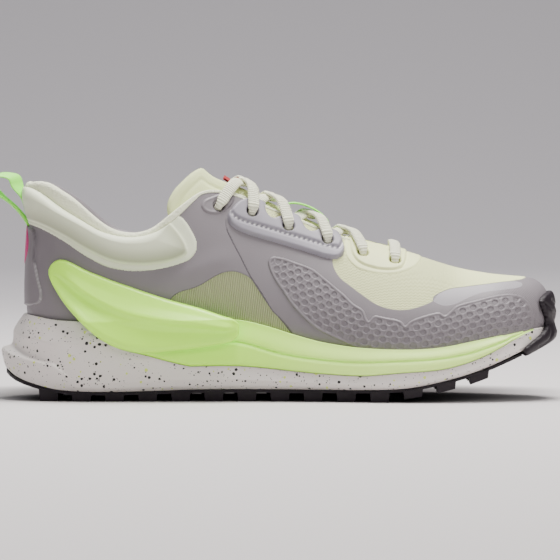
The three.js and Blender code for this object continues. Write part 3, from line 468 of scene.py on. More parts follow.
def speckGroup():
    group, inside, outside = newGroup("specks", ("Place", "Scale", "Share", "Size"), ("Mask",))
    cells = group.nodes.new("ShaderNodeTexVoronoi")
    warped = group.nodes.new("ShaderNodeVectorMath")
    warped.operation = "MULTIPLY_ADD"
    spread = group.nodes.new("ShaderNodeTexNoise")
    plug(group, spread.inputs["Vector"], inside["Place"])
    spread.inputs["Scale"].default_value = 900
    plug(group, warped.inputs[0], spread.outputs["Color"])
    warped.inputs[1].default_value = (0.0007, 0.0007, 0.0007)
    plug(group, warped.inputs[2], inside["Place"])
    plug(group, cells.inputs["Vector"], warped.outputs[0])
    plug(group, cells.inputs["Scale"], inside["Scale"])
    split = group.nodes.new("ShaderNodeSeparateColor")
    plug(group, split.inputs[0], cells.outputs["Color"])
    chosen = number(group, "LESS_THAN", split.outputs[0], inside["Share"])
    grown = number(group, "MULTIPLY", number(group, "POWER", split.outputs[1], 2.2), inside["Size"])
    reach = number(group, "ADD", grown, number(group, "MULTIPLY", inside["Size"], 0.22))
    near = number(group, "LESS_THAN", cells.outputs["Distance"], reach)
    plug(group, outside["Mask"], number(group, "MULTIPLY", chosen, near))
    return group


knit, rowsOf, specks = knitGroup(), rowGroup(), speckGroup()


def startMaterial(name, **sockets):
    material = bpy.data.materials.new(name)
    material.use_nodes = True
    tree = material.node_tree
    shader = tree.nodes["Principled BSDF"]
    for socket, value in sockets.items():
        socket = "".join(" " + c if c.isupper() else c for c in socket).strip().title()
        plug(tree, shader.inputs[socket], (*value, 1) if isinstance(value, (list, tuple)) else value)
    return material, tree, shader


def roughen(tree, shader, height, distance, strength=1.0):
    bump = tree.nodes.new("ShaderNodeBump")
    bump.inputs["Strength"].default_value = strength
    bump.inputs["Distance"].default_value = distance * mm
    plug(tree, bump.inputs["Height"], height)
    before = shader.inputs["Normal"].links
    if before:
        plug(tree, bump.inputs["Normal"], before[0].from_socket)
    plug(tree, shader.inputs["Normal"], bump.outputs[0])


def grainy(name, color, roughness, scale, depth, **sockets):
    material, tree, shader = startMaterial(name, baseColor=color, roughness=roughness, **sockets)
    roughen(tree, shader, noise(tree, place(tree), scale), depth)
    return material


# materials
looks = dict(
    film=tone(119, 113, 118), stay=tone(138, 134, 144), vamp=tone(226, 231, 174), window=tone(160, 166, 124),
    # limePaintedLight: painted light, the paler lime toward the band's front where more light falls
    blob=tone(146, 142, 148), seam=tone(84, 78, 84), lime=tone(188, 252, 70), limePaintedLight=tone(212, 250, 130),
    # limeGlow: strength of a painted glow, emission that makes the lime foam shine brighter
    limeGlow=0.17, foam=tone(220, 213, 209), speck=tone(8, 6, 8), speckGreen=tone(206, 222, 96),
    # sagePaintedShade: painted shade for the cuff pillow's lower edge
    sage=tone(220, 226, 198), sagePaintedShade=tone(130, 134, 106), sock=tone(196, 200, 178),
    knitGap=tone(150, 158, 112), windowGap=tone(128, 134, 100), laceGap=tone(168, 168, 140),
    lining=tone(226, 229, 202), tongue=tone(212, 220, 164), lace=tone(228, 229, 204), mint=tone(146, 244, 84),
    # threadAndGlint: colour of the stay stitches and of the painted glint on the heel tab
    threadAndGlint=tone(206, 204, 206), rubber=tone(30, 24, 30), magenta=tone(196, 0, 112), red=tone(150, 30, 34),
)


def upperMaterial():
    material, tree, shader = startMaterial("upperFabric")
    vamp = ramp(tree, field(tree, "vamp"), -0.35, 0.35)
    window = ramp(tree, field(tree, "window"), -0.12, 0.12)
    blob = ramp(tree, field(tree, "blob"), -0.1, 0.1)
    seam = ramp(tree, number(tree, "ABSOLUTE", field(tree, "seam")), 0.22, 0.5, 1, 0)
    windowEdge = ramp(tree, number(tree, "ABSOLUTE", field(tree, "window")), 0.1, 0.4, 1, 0)
    along, up = field(tree, "alongMm"), field(tree, "upMm")
    weave = useGroup(tree, knit, Along=along, Up=up, Pitch=0.95)
    ribbing = useGroup(tree, rowsOf, Along=field(tree, "slantMm"), Pitch=1.15)
    smoothFront = ramp(tree, field(tree, "frontMm"), 0, 22)
    knitted = number(tree, "MULTIPLY", vamp, smoothFront)
    color = blend(tree, vamp, looks["film"], looks["vamp"])
    gaps = number(tree, "MULTIPLY", knitted, ramp(tree, weave, -0.2, -1.0, 0, 0.32))
    color = blend(tree, gaps, color, looks["knitGap"])
    color = blend(tree, window, color, looks["window"])
    stripes = number(tree, "MULTIPLY", window, ramp(tree, ribbing, 0.1, -1.0, 0, 0.5))
    color = blend(tree, stripes, color, looks["windowGap"])
    color = blend(tree, blob, color, looks["blob"])
    inked = number(tree, "MAXIMUM", seam, number(tree, "MULTIPLY", windowEdge, 0.7))
    color = blend(tree, inked, color, looks["seam"])
    plug(tree, shader.inputs["Base Color"], color)
    plug(tree, shader.inputs["Roughness"], number(tree, "ADD", 0.5, number(tree, "MULTIPLY", vamp, 0.3)))
    roughen(tree, shader, noise(tree, place(tree), 1800), 0.05)
    roughen(tree, shader, number(tree, "MULTIPLY", weave, knitted), 0.16)
    roughen(tree, shader, number(tree, "MULTIPLY", ribbing, window), 0.2)
    lines = useGroup(tree, rowsOf, Along=number(tree, "ADD", along, up), Pitch=1.0)
    plain = number(tree, "MULTIPLY", number(tree, "SUBTRACT", 1, vamp), number(tree, "SUBTRACT", 1, window))
    knitToe = number(tree, "MULTIPLY", plain, field(tree, "toeKnit"))
    roughen(tree, shader, number(tree, "MULTIPLY", lines, knitToe), 0.06)
    level = number(tree, "SUBTRACT", blob, number(tree, "MAXIMUM", seam, window))
    roughen(tree, shader, level, 0.3)
    return material


def foamMaterial():
    material, tree, shader = startMaterial("speckledFoam", roughness=0.5)
    where = place(tree)
    dark = useGroup(tree, specks, Place=where, Scale=400, Share=0.66, Size=0.3)
    fine = useGroup(tree, specks, Place=where, Scale=900, Share=0.55, Size=0.26)
    green = useGroup(tree, specks, Place=number3(tree, where, (3, 7, 5)), Scale=380, Share=0.3, Size=0.3)
    color = blend(tree, green, looks["foam"], looks["speckGreen"])
    color = blend(tree, number(tree, "MAXIMUM", dark, fine), color, looks["speck"])
    plug(tree, shader.inputs["Base Color"], color)
    roughen(tree, shader, noise(tree, where, 700), 0.05)
    return material


def number3(tree, vector, offset):
    node = tree.nodes.new("ShaderNodeVectorMath")
    plug(tree, node.inputs[0], vector)
    node.inputs[1].default_value = offset
    return node.outputs[0]


def laceMaterial():
    material, tree, shader = startMaterial("laceWeave", baseColor=looks["lace"], roughness=0.8)
    ribbing = useGroup(tree, rowsOf, Along=field(tree, "runMm"), Pitch=1.25)
    roughen(tree, shader, ribbing, 0.12)
    roughen(tree, shader, noise(tree, place(tree), 2600), 0.08)
    gaps = ramp(tree, ribbing, -0.3, -1.0, 0, 0.22)
    plug(tree, shader.inputs["Base Color"], blend(tree, gaps, looks["lace"], looks["laceGap"]))
    return material


def filmMaterial(name, color, depth):
    material, tree, shader = startMaterial(name, roughness=0.5)
    mixed = blend(tree, field(tree, "dark"), color, looks["seam"])
    # stitchAndGlint: real stitches on the stays, and a painted glint line along the heel tab's lower edge
    mixed = blend(tree, field(tree, "stitchAndGlint"), mixed, looks["threadAndGlint"])
    plug(tree, shader.inputs["Base Color"], mixed)
    roughen(tree, shader, noise(tree, place(tree), 1500), depth)
    return material


def paddingMaterial():
    material, tree, shader = startMaterial("sagePadding", roughness=0.55)
    # painted shade: the padding darkens toward sagePaintedShade by the shade field
    shade = number(tree, "MULTIPLY", field(tree, "shade"), 0.75)
    plug(tree, shader.inputs["Base Color"], blend(tree, shade, looks["sage"], looks["sagePaintedShade"]))
    roughen(tree, shader, noise(tree, place(tree), 2200), 0.03)
    return material


def limeMaterial():
    material, tree, shader = startMaterial("limeFoam", roughness=0.42)
    # painted light: the lime turns paler toward the front, where more light falls
    paintedLight = ramp(tree, field(tree, "xMm"), -40, 60)
    color = blend(tree, paintedLight, looks["lime"], looks["limePaintedLight"])
    # painted glow: the lime colour also feeds emission, so the band shines
    for socket in ("Base Color", "Emission Color"):
        plug(tree, shader.inputs[socket], color)
    shader.inputs["Emission Strength"].default_value = looks["limeGlow"]
    return material


upperFabric, speckledFoam = upperMaterial(), foamMaterial()
laceWeave, limeFoam = laceMaterial(), limeMaterial()
# painted glow: the wings' lime foam shines by emission too
wingGlow = dict(emissionColor=looks["lime"], emissionStrength=looks["limeGlow"])
wingFoam = grainy("wingFoam", looks["lime"], 0.38, 500, 0.01, **wingGlow)
stayFilm = filmMaterial("stayFilm", looks["stay"], 0.02)
creamFilm = grainy("creamFilm", looks["vamp"], 0.6, 1500, 0.02)
greyFilm = filmMaterial("greyFilm", looks["film"], 0.03)
sagePadding = paddingMaterial()
pebbleLining = grainy("pebbleLining", looks["lining"], 0.85, 750, 0.7)
tongueKnit = grainy("tongueKnit", looks["tongue"], 0.8, 1600, 0.12)
mintWebbing = grainy("mintWebbing", looks["mint"], 0.55, 1400, 0.06)
plumRubber = grainy("plumRubber", looks["rubber"], 0.5, 900, 0.04)
plumRubber.node_tree.nodes["Principled BSDF"].inputs["Specular IOR Level"].default_value = 0.25
sockFoam = grainy("sockFoam", looks["sock"], 0.85, 900, 0.15)
magentaInk = grainy("magentaInk", looks["magenta"], 0.5, 900, 0.01)
redLabel = grainy("redLabel", looks["red"], 0.7, 900, 0.05)
print("materials ready")

# camera, lights and stage
view = dict(distance=2.0, elevation=1.6, width=0.2924, aimX=0.0, aimZ=0.0615, sensor=36.0)
tilt = math.radians(view["elevation"])
back = Vector((0, -math.cos(tilt), math.sin(tilt)))
camera = bpy.data.objects.new("camera", bpy.data.cameras.new("camera"))
bpy.context.collection.objects.link(camera)
bpy.context.scene.camera = camera
camera.location = Vector((view["aimX"], 0, view["aimZ"])) + back * view["distance"]
camera.rotation_mode = "QUATERNION"
camera.rotation_quaternion = (-back).to_track_quat("-Z", "Y")
camera.data.sensor_width = view["sensor"]
camera.data.lens = view["sensor"] * view["distance"] / view["width"]
camera.data.clip_end = 50

# sweep: the backdrop's profile, metres back from the shoe and up
studio = dict(
    # paperPaintedShade: painted shade, the paper darker from fadeFrom to fadeTo metres back, as if less light
    # reached it
    paper=tone(200, 196, 197), paperPaintedShade=tone(188, 184, 186), fadeFrom=0.5, fadeTo=2.6,
    width=12.0, near=-6.0, bendAt=2.7, bendSize=3.2, top=6.0, glow=0.1,
    glowTone=tone(226, 228, 234), steps=48, shade=tone(26, 22, 24),
    # shade and its keys: a painted contact shadow, a dark superellipse in the floor's colour under the shoe;
    # sheen: the paper's specular level, none under the painted shadow
    shadeAt=(-0.012, 0.04), shadeSize=(0.16, 0.085), shadePower=3.0, shadeFrom=0.1, shadeTo=1.5,
    shadeShare=0.9, sheen=0.5,
)


def paperMaterial():
    material, tree, shader = startMaterial("paper", roughness=0.7)
    split = tree.nodes.new("ShaderNodeSeparateXYZ")
    plug(tree, split.inputs[0], place(tree))
    # painted shade: the paper darkens farther back
    paintedFalloff = ramp(tree, split.outputs[1], studio["fadeFrom"], studio["fadeTo"])
    paper = blend(tree, paintedFalloff, studio["paper"], studio["paperPaintedShade"])
    powers = []
    # painted shadow: a dark superellipse under the shoe, where the paper also loses its specular level
    for k in (0, 1):
        offset = number(tree, "SUBTRACT", split.outputs[k], studio["shadeAt"][k])
        share = number(tree, "ABSOLUTE", number(tree, "DIVIDE", offset, studio["shadeSize"][k]))
        powers.append(number(tree, "POWER", share, studio["shadePower"]))
    edge = number(tree, "ADD", *powers)
    under = ramp(tree, edge, studio["shadeFrom"], studio["shadeTo"], studio["shadeShare"], 0)
    plug(tree, shader.inputs["Base Color"], blend(tree, under, paper, studio["shade"]))
    sheen = ramp(tree, edge, studio["shadeFrom"], studio["shadeTo"], 0, studio["sheen"])
    plug(tree, shader.inputs["Specular IOR Level"], sheen)
    return material


def makeStage():
    angle = np.linspace(0, math.pi / 2, studio["steps"])
    y = np.concatenate([[studio["near"]], studio["bendAt"] + studio["bendSize"] * np.sin(angle)])
    z = np.concatenate([[0], studio["bendSize"] * (1 - np.cos(angle))])
    y, z = np.append(y, y[-1]), np.append(z, studio["top"])
    half = studio["width"] / 2
    points = [(side, a, b) for side in (-half, half) for a, b in zip(y, z)]
    count = len(y)
    faces = [(k, count + k, count + k + 1, k + 1) for k in range(count - 1)]
    mesh = bpy.data.meshes.new("backdrop")
    mesh.from_pydata(points, [], faces)
    mesh.shade_smooth()
    backdrop = bpy.data.objects.new("backdrop", mesh)
    bpy.context.collection.objects.link(backdrop)
    mesh.materials.append(paperMaterial())


lamps = [
    dict(name="overhead", at=(0.1, 0.05, 1.3), aim=(0, 0, 0.03),
         wide=0.9, tall=0.5, power=46, warm=tone(255, 252, 248)),
    dict(name="floorWash", at=(0, -1.5, 1.3), aim=(0, -1.1, 0),
         wide=3.0, tall=0.5, power=20, warm=tone(255, 253, 252)),
    dict(name="frontFill", at=(0.5, -2.0, 0.9), aim=(0, 0, 0.06),
         wide=1.4, tall=0.6, power=1, warm=tone(255, 250, 250)),
    dict(name="toeSide", at=(1.3, -0.7, 0.8), aim=(0.1, 0, 0.05),
         wide=0.6, tall=0.8, power=7, warm=tone(255, 252, 246)),
    dict(name="sweepLamp", at=(0, 1.7, 2.4), aim=(0, 4.0, 0.2),
         wide=3.6, tall=0.8, power=110, warm=tone(253, 252, 255)),
    dict(name="rim", at=(-0.7, 0.8, 0.9), aim=(0, 0, 0.07),
         wide=0.9, tall=0.6, power=5, warm=tone(250, 252, 255)),
]


def makeLamps():
    for lamp in lamps:
        data = bpy.data.lights.new(lamp["name"], "AREA")
        data.shape = "RECTANGLE"
        data.size, data.size_y = lamp["wide"], lamp["tall"]
        data.energy = lamp["power"]
        data.color = lamp["warm"]
        item = bpy.data.objects.new(lamp["name"], data)
        bpy.context.collection.objects.link(item)
        item.location = lamp["at"]
        way = Vector(lamp["aim"]) - Vector(lamp["at"])
        item.rotation_euler = way.to_track_quat("-Z", "Y").to_euler()
    world = bpy.data.worlds.new("studio")
    bpy.context.scene.world = world
    world.use_nodes = True
    glow = world.node_tree.nodes["Background"]
    glow.inputs[0].default_value = (*studio["glowTone"], 1)
    glow.inputs[1].default_value = studio["glow"]


makeStage()
makeLamps()
print("camera, lights and stage ready")

# films and pads draped on the upper: a fine grid that stands off inside an outline and dips outside it
drape = dict(spacing=0.5, margin=1.4, hiddenDepth=-0.8)


def drapeGrid(outline, sign, spacing=None):
    line = smoothLoop(outline, 6)
    step, margin = spacing or drape["spacing"], drape["margin"]
    x = np.arange(line[:, 0].min() - margin, line[:, 0].max() + margin, step)
    z = np.arange(line[:, 1].min() - margin, line[:, 1].max() + margin, step)
    x, z = np.meshgrid(x, z, indexing="ij")
    inset = lineDistance(x, z, line, True)
    s, turn = ontoLast(x, z, sign)
    return x, z, inset, s, turn


def drapePiece(name, s, turn, inset, height, material, slotName, *nodes, fields=None, hole=None):
    settled = np.where(inset < -0.45, drape["hiddenDepth"], height)
    points = lastPoint(s, turn) + outwardAt(s, turn) * settled[..., None]
    rows, columns = inset.shape
    faces = gridFaces(rows, columns, keep=inset > -1.3)
    if hole is not None:
        faces = faces[~hole.reshape(-1)[faces].all(1)]
    piece = makeMesh(name, points.reshape(-1, 3), faces, fields)
    return settle(piece, material, slotName, *nodes)


def rounded(inset, reach, height):
    f = np.clip(inset / reach, 0, 1)
    return height * np.sqrt(1 - (1 - f) ** 2)


def edgeSide(x):
    return heightAt(alongLine(collarLine, shareAt(x)))


holes = dict(radius=2.1, lip=1.5, depth=-2.6)
eyeletSpots = {sign: [spotOnLast(at, height, sign) for at, height in eyelets] for sign in (-1, 1)}
eyeletPlaces = {
    sign: np.array([lastPoint(np.array(s), np.array(turn)) for s, turn in spots])
    for sign, spots in eyeletSpots.items()
}


def eyeletDistance(points, sign):
    away = points[..., None, :] - eyeletPlaces[sign]
    return np.linalg.norm(away, axis=-1).min(-1)


def withWells(height, away):
    share = smoothStep((away - holes["radius"]) / holes["lip"])
    return holes["depth"] + (height - holes["depth"]) * share ** 0.6

# the upper: one closed wall, with the printed film, windows and seams as fields on its surface
windowOutline = [
    (0.304, 0.44), (0.308, 0.467), (0.315, 0.483), (0.323, 0.494), (0.355, 0.52), (0.383, 0.562),
    (0.401, 0.582), (0.419, 0.586), (0.433, 0.576), (0.447, 0.556), (0.46, 0.509), (0.486, 0.412),
    (0.498, 0.381), (0.522, 0.307), (0.525, 0.253), (0.43, 0.253), (0.358, 0.358),
]
panelSeam = [
    (0.405, 0.827), (0.405, 0.782), (0.415, 0.724), (0.433, 0.637), (0.447, 0.567), (0.467, 0.491),
    (0.486, 0.412), (0.498, 0.381), (0.521, 0.307),
]
vampOutline = [
    (0.593, 0.659), (0.594, 0.622), (0.597, 0.595), (0.607, 0.556), (0.625, 0.52), (0.65, 0.473),
    (0.672, 0.437), (0.697, 0.418), (0.723, 0.416), (0.748, 0.431), (0.771, 0.457), (0.78, 0.485),
    (0.801, 0.508), (0.824, 0.516), (0.861, 0.527), (0.907, 0.54), (0.922, 0.545), (0.936, 0.551),
    (0.951, 0.577), (0.951, 0.777), (0.7, 1.2), (0.45, 1.2), (0.455, 0.86), (0.5, 0.79), (0.56, 0.72),
]
blobOutline = [
    (0.77, 0.458), (0.772, 0.474), (0.781, 0.489), (0.801, 0.508), (0.824, 0.516), (0.861, 0.527),
    (0.907, 0.54), (0.924, 0.538), (0.932, 0.529), (0.929, 0.517), (0.899, 0.504), (0.861, 0.492),
    (0.836, 0.473), (0.811, 0.444), (0.791, 0.435), (0.778, 0.444),
]
softCrease = [
    (0.268, 0.513), (0.308, 0.549), (0.349, 0.595), (0.396, 0.636), (0.43, 0.65),
]
shell = dict(
    spacing=0.95, levels=92, innerLevels=34, rimDrop=2.2, throatDrop=0.5, paddingDepth=42,
    paddingFront=0.27, paddingEnd=0.31,
    creaseHeight=0.55, creaseWidth=5.0, ribSlant=0.12, windowSink=0.35,
)


def wallDepth(point, edgeZ):
    at = shareAt(point[..., 0])
    below = (edgeZ - point[..., 2]) / shell["paddingDepth"]
    rise = smoothStep(0.45 + below * 3) * smoothStep((1 - below) * 1.6)
    fade = smoothStep((shell["paddingEnd"] - at) / (shell["paddingEnd"] - shell["paddingFront"]))
    return shoe["wall"] + shoe["padding"] * rise * fade


def upperFields(outer, s):
    x, y, z = outer[..., 0], outer[..., 1], outer[..., 2]
    climb = np.linalg.norm(np.diff(outer, axis=1), axis=2)
    upMm = np.concatenate([np.zeros((len(s), 1)), np.cumsum(climb, 1)], 1)
    return dict(
        vamp=lineDistance(x, z, smoothLoop(vampOutline, 6), True),
        window=lineDistance(x, z, smoothLoop(windowOutline, 6), True),
        blob=lineDistance(x, z, smoothLoop(blobOutline, 6), True),
        seam=lineDistance(x, z, smoothLoop(panelSeam, 6, False), False),
        alongMm=x + 0 * z,
        upMm=upMm,
        slantMm=x - shell["ribSlant"] * z,
        frontMm=lengthAt(0.86) - x,
        toeKnit=smoothStep((shareAt(x) - 0.86) / 0.05) * smoothStep((np.abs(y) - 16) / 12),
    )


def makeUpper():
    s = columnsAround(shell["spacing"])[:-1]
    toThroat = smoothStep((around("at", s) - 0.47) / 0.05)
    edge = edgeTurn(s, shell["rimDrop"] + (shell["throatDrop"] - shell["rimDrop"]) * toThroat)
    turn = turnsUp(s, np.zeros_like(s), edge, shell["levels"])
    outer = lastPoint(s[:, None], turn)
    normal = outwardAt(s[:, None], turn)
    normal[:, 0, 2] = 0
    edgeZ = outer[:, -1:, 2]
    isOpen = (edge < 1)[:, None]
    pick = np.unique(np.linspace(0, shell["levels"] - 1, shell["innerLevels"]).astype(int))
    deep = np.where(isOpen, wallDepth(outer[:, pick], edgeZ), shoe["wall"])
    inner = outer[:, pick] - normal[:, pick] * deep[..., None]
    fields = upperFields(outer, s)
    crease = lineDistance(outer[..., 0], outer[..., 2], smoothLoop(softCrease, 6, False), False)
    lengthShare = shareAt(outer[..., 0])
    fadeEnds = smoothStep((lengthShare - 0.26) / 0.05) * smoothStep((0.44 - lengthShare) / 0.05)
    relief = shell["creaseHeight"] * np.exp(-((crease / shell["creaseWidth"]) ** 2)) * fadeEnds
    relief = relief - shell["windowSink"] * smoothStep(fields["window"] / 1.5)
    outer = outer + normal * relief[..., None]
    a, b = outer[:, -1], inner[:, -1]
    lift = np.where(isOpen, np.linalg.norm(a - b, axis=1, keepdims=True), 0)
    rim = []
    for share in np.linspace(0, 1, 7)[1:-1]:
        point = a + (b - a) * share
        point[:, 2:] += np.minimum(lift, 2.4) * 0.42 * math.sin(math.pi * share) ** 0.6
        rim.append(point)
    points = np.concatenate([outer, np.stack(rim, 1), inner[:, ::-1]], 1)
    rows, columns = points.shape[:2]
    spare = columns - outer.shape[1]
    fields = {
        name: np.concatenate([values, np.repeat(values[:, -1:], spare, 1)], 1)
        for name, values in fields.items()
    }
    faces = gridFaces(rows, columns, wrap=True, wrapColumns=True)
    pierced = np.minimum(eyeletDistance(points, -1), eyeletDistance(points, 1)) < holes["radius"] + 0.2
    faces = faces[~pierced.reshape(-1)[faces].any(1)]
    piece = makeMesh("upperShell", points.reshape(-1, 3), faces, fields)
    return settle(piece, upperFabric, "mesh", "upper")


makeUpper()
print("upper made")

# the sole: speckled foam, lime band, rubber
sole = dict(
    spacing=0.9, lip=0.8, groove=0.7, crest=2.1, ridge=2.0, ridgeReach=1.3, tuckIn=7.0, levels=72,
    bandStart=0.215, bandEnd=0.957, tipFrom=0.905,
)


def sideProfile(s):
    at = around("at", s)

    def line(name):
        return alongSide(name, at)

    def mix(low, high, share):
        return low + (high - low) * share
    rim, bottom = heightAt(line("rim")), heightAt(line("bottom"))
    least = (rim - bottom) / 12
    step = np.clip(heightAt(line("step")), bottom + 2 * least, rim - 7 * least)
    seam = np.clip(heightAt(alongLine(seamLine, at)), step + 2 * least, rim - 4 * least)
    groove = np.clip(heightAt(alongLine(grooveLine, at)), seam + 2 * least, rim - 2 * least)
    tip = smoothStep((at - sole["tipFrom"]) / (sole["bandEnd"] - sole["tipFrom"]))
    seam = mix(seam, rim - least, tip)
    groove = mix(groove, rim - 0.5 * least, tip)
    banded = smoothStep((at - seamLine[1][0]) / 0.06) * smoothStep((0.96 - at) / 0.06)
    relief = shoe["sideRelief"]
    rows = [
        (bottom, line("tuck")),
        (mix(bottom, step, 0.3), line("tuck") * 0.35),
        (mix(bottom, step, 0.8), 0 * at),
        (step, line("stepIn")),
        (mix(step, seam, 0.94), line("upperIn") * 1.4),
        (seam, line("upperIn") * 1.4 - sole["lip"] / relief * banded),
        (mix(seam, groove, 0.5), line("upperIn") * 1.5 - sole["crest"] / relief * banded),
        (groove, mix(line("upperIn"), line("rimIn"), 0.35) + sole["groove"] / relief * banded),
        (mix(groove, rim, 0.6), mix(line("upperIn"), line("rimIn"), 0.6) - sole["lip"] / relief * banded),
        (rim, line("rimIn")),
    ]
    return np.stack([r[0] for r in rows], 1), np.stack([r[1] for r in rows], 1) * relief


def smoothRows(rows, want):
    last = rows.shape[1] - 1
    i = np.clip(np.floor(want).astype(int), 0, last - 1)
    f = (want - i)[None, :]
    a, b = rows[:, np.maximum(i - 1, 0)], rows[:, i]
    c, d = rows[:, i + 1], rows[:, np.minimum(i + 2, last)]
    return 0.5 * (2 * b + (c - a) * f + (2 * a - 5 * b + 4 * c - d) * f**2 + (3 * b - a - 3 * c + d) * f**3)


def bandProfile(s):
    heights, standIns = sideProfile(s)
    seam, groove, rim = (heights[:, k:k + 1] for k in (5, 7, 9))
    at = around("at", s)[:, None]
    banded = smoothStep((at - seamLine[1][0]) / 0.06) * smoothStep((0.96 - at) / 0.06)
    share = np.linspace(0, 1, sole["levels"])[None, :]
    z = seam + (rim - seam) * share
    foot = alongSide("upperIn", at) * 1.4 * shoe["sideRelief"]
    base = foot + (standIns[:, 9:] - foot) * share ** 1.3
    roll = rolled(np.minimum(z - seam, groove - z), 2.6, sole["crest"])
    ridge = rolled(z - groove, sole["ridgeReach"], sole["ridge"])
    ridge = ridge * (1 - 0.8 * smoothStep((z - groove - 1) / (rim - groove - 1)))
    return z, base - banded * (np.where(z < groove, roll, ridge) - sole["groove"])


def rolled(inset, reach, height):
    share = np.clip(inset / reach, 0, 1)
    return height * np.sqrt(1 - (1 - share) ** 2)


def soleColumns():
    fine = np.linspace(-toeRib, toeRib, 3000)
    x, y, _, _ = planPoint(fine)
    run = np.concatenate([[0], np.cumsum(np.hypot(np.diff(x), np.diff(y)))])
    return np.interp(np.linspace(0, run[-1], int(run[-1] / sole["spacing"]) + 1), run, fine)[:-1]


def sideWall(low, high, seamShift):
    s = soleColumns()
    if low == 5:
        z, standIn = bandProfile(s)
    else:
        heights, standIns = sideProfile(s)
        want = np.linspace(low, high, sole["levels"])
        z, standIn = smoothRows(heights, want), smoothRows(standIns, want)
    x, y, _, _ = planPoint(s[:, None], standIn)
    points = np.stack([x, y, z], -1)
    points[:, -1 if low == 0 else 0, 2] += seamShift
    inner = planPoint(s[:, None], standIn[:, [-1, 0]] + sole["tuckIn"])
    ends = np.stack([inner[0], inner[1], points[:, [-1, 0], 2]], -1)
    return np.concatenate([points, ends], 1), around("at", s)


def makeSolePiece(name, low, high, seamShift, inside, material, slotName, *nodes):
    points, at = sideWall(low, high, seamShift)
    rows, columns = points.shape[:2]
    faces = gridFaces(rows, columns, wrap=True, wrapColumns=True)
    if inside is not None:
        kept = np.repeat(inside(at)[:, None], columns, 1).reshape(-1)
        faces = faces[kept[faces].all(1)]
    fields = dict(xMm=points[..., 0])
    piece = makeMesh(name, points.reshape(-1, 3), faces, fields)
    return settle(piece, material, slotName, *nodes)


def isBand(at):
    return (at > sole["bandStart"]) & (at < sole["bandEnd"])


def isCup(at):
    return (at < sole["bandStart"] + 0.004) | (at > sole["bandEnd"] - 0.004)


makeSolePiece("midsoleFoam", 0, 5, -0.12, None, speckledFoam, "foam", "midsole")
makeSolePiece("limeBand", 5, 9, 0.12, isBand, limeFoam, "lime_foam", "carrier")
makeSolePiece("foamCups", 5, 9, -0.3, isCup, speckledFoam, "foam")
print("sole made")

# stays, patches and dimple films
stayOutline = [
    (0.407, 0.832), (0.415, 0.87), (0.431, 0.905), (0.467, 0.9), (0.476, 0.845), (0.486, 0.822),
    (0.498, 0.829), (0.511, 0.852), (0.529, 0.838), (0.538, 0.806), (0.547, 0.771), (0.557, 0.76),
    (0.568, 0.769), (0.58, 0.784), (0.596, 0.768), (0.608, 0.736), (0.614, 0.689), (0.612, 0.66),
    (0.602, 0.642), (0.584, 0.645), (0.538, 0.681), (0.492, 0.716), (0.447, 0.75), (0.424, 0.774),
    (0.411, 0.8),
]
stayGroove = [
    (0.41, 0.864), (0.413, 0.841), (0.424, 0.818), (0.469, 0.78), (0.538, 0.727), (0.584, 0.692),
    (0.606, 0.684), (0.611, 0.704),
]
stay = dict(
    body=2.3, edgeReach=1.1, grooveDepth=1.5, grooveWidth=0.8, stitchRise=0.45, stitchPitch=2.6,
    spacing=0.42,
)


def makeStay(sign, node):
    x, z, inset, s, turn = drapeGrid(stayOutline, sign, stay["spacing"])
    inset = np.minimum(inset, edgeSide(x) - z + 0.3)
    groove = lineDistance(x, z, smoothLoop(stayGroove, 6, False), False)
    height = rounded(inset, stay["edgeReach"], stay["body"])
    height -= stay["grooveDepth"] * np.exp(-((groove / stay["grooveWidth"]) ** 2)) * smoothStep(inset / 1.2)
    beat = np.sin((x * 0.9 - z * 0.55) * 2 * math.pi / stay["stitchPitch"])
    stitchAndGlint = np.exp(-((groove / 0.42) ** 2)) * smoothStep(beat * 1.4 + 0.5)
    height += stay["stitchRise"] * stitchAndGlint * smoothStep(inset / 1.2)
    away = eyeletDistance(lastPoint(s, turn), sign)
    height = withWells(height, away)
    fields = dict(stitchAndGlint=stitchAndGlint)
    return drapePiece(
        node.replace("eyestay_", "stay").replace("medial", "Medial").replace("lateral", "Lateral"),
        s, turn, inset, height, stayFilm, "film", node, fields=fields, hole=away < holes["radius"] - 0.3,
    )


vampStayOutline = [
    (0.622, 0.76), (0.617, 0.671), (0.622, 0.639), (0.637, 0.602), (0.66, 0.583), (0.685, 0.574),
    (0.71, 0.58), (0.73, 0.596), (0.746, 0.62), (0.753, 0.65), (0.755, 0.76),
]
vampStayInner = [
    (0.626, 0.76), (0.626, 0.704), (0.627, 0.677), (0.635, 0.639), (0.647, 0.617), (0.672, 0.597),
    (0.697, 0.592), (0.715, 0.6), (0.722, 0.622), (0.726, 0.663), (0.727, 0.76),
]
vampStay = dict(sheet=0.45, raised=0.8, step=0.5)


def makeVampStay():
    for sign in (-1, 1):
        ribs = columnsAround(0.5, 8.0, 12.8, 0.8)
        edge = edgeTurn(ribs)
        turn = turnsUp(ribs, np.full_like(ribs, 0.3), edge, 110)
        s = sign * ribs[:, None] + 0 * turn
        spot = lastPoint(s, turn)
        x, z = spot[..., 0], spot[..., 2]
        outer = lineDistance(x, z, smoothLoop(vampStayOutline, 6), True)
        inner = lineDistance(x, z, smoothLoop(vampStayInner, 6), True)
        height = rounded(outer, 0.5, vampStay["sheet"]) + rounded(inner, vampStay["step"], vampStay["raised"])
        height -= 0.35 * np.exp(-(((inner + 0.35) / 0.3) ** 2)) * smoothStep(outer)
        away = eyeletDistance(spot, sign)
        height = withWells(height, away)
        node = ("vamp_stay",) if sign < 0 else ()
        name = "vampStay" + ("Medial" if sign < 0 else "Lateral")
        hole = away < holes["radius"] - 0.3
        drapePiece(name, s, turn, outer, height, creamFilm, "cream_film", *node, hole=hole)


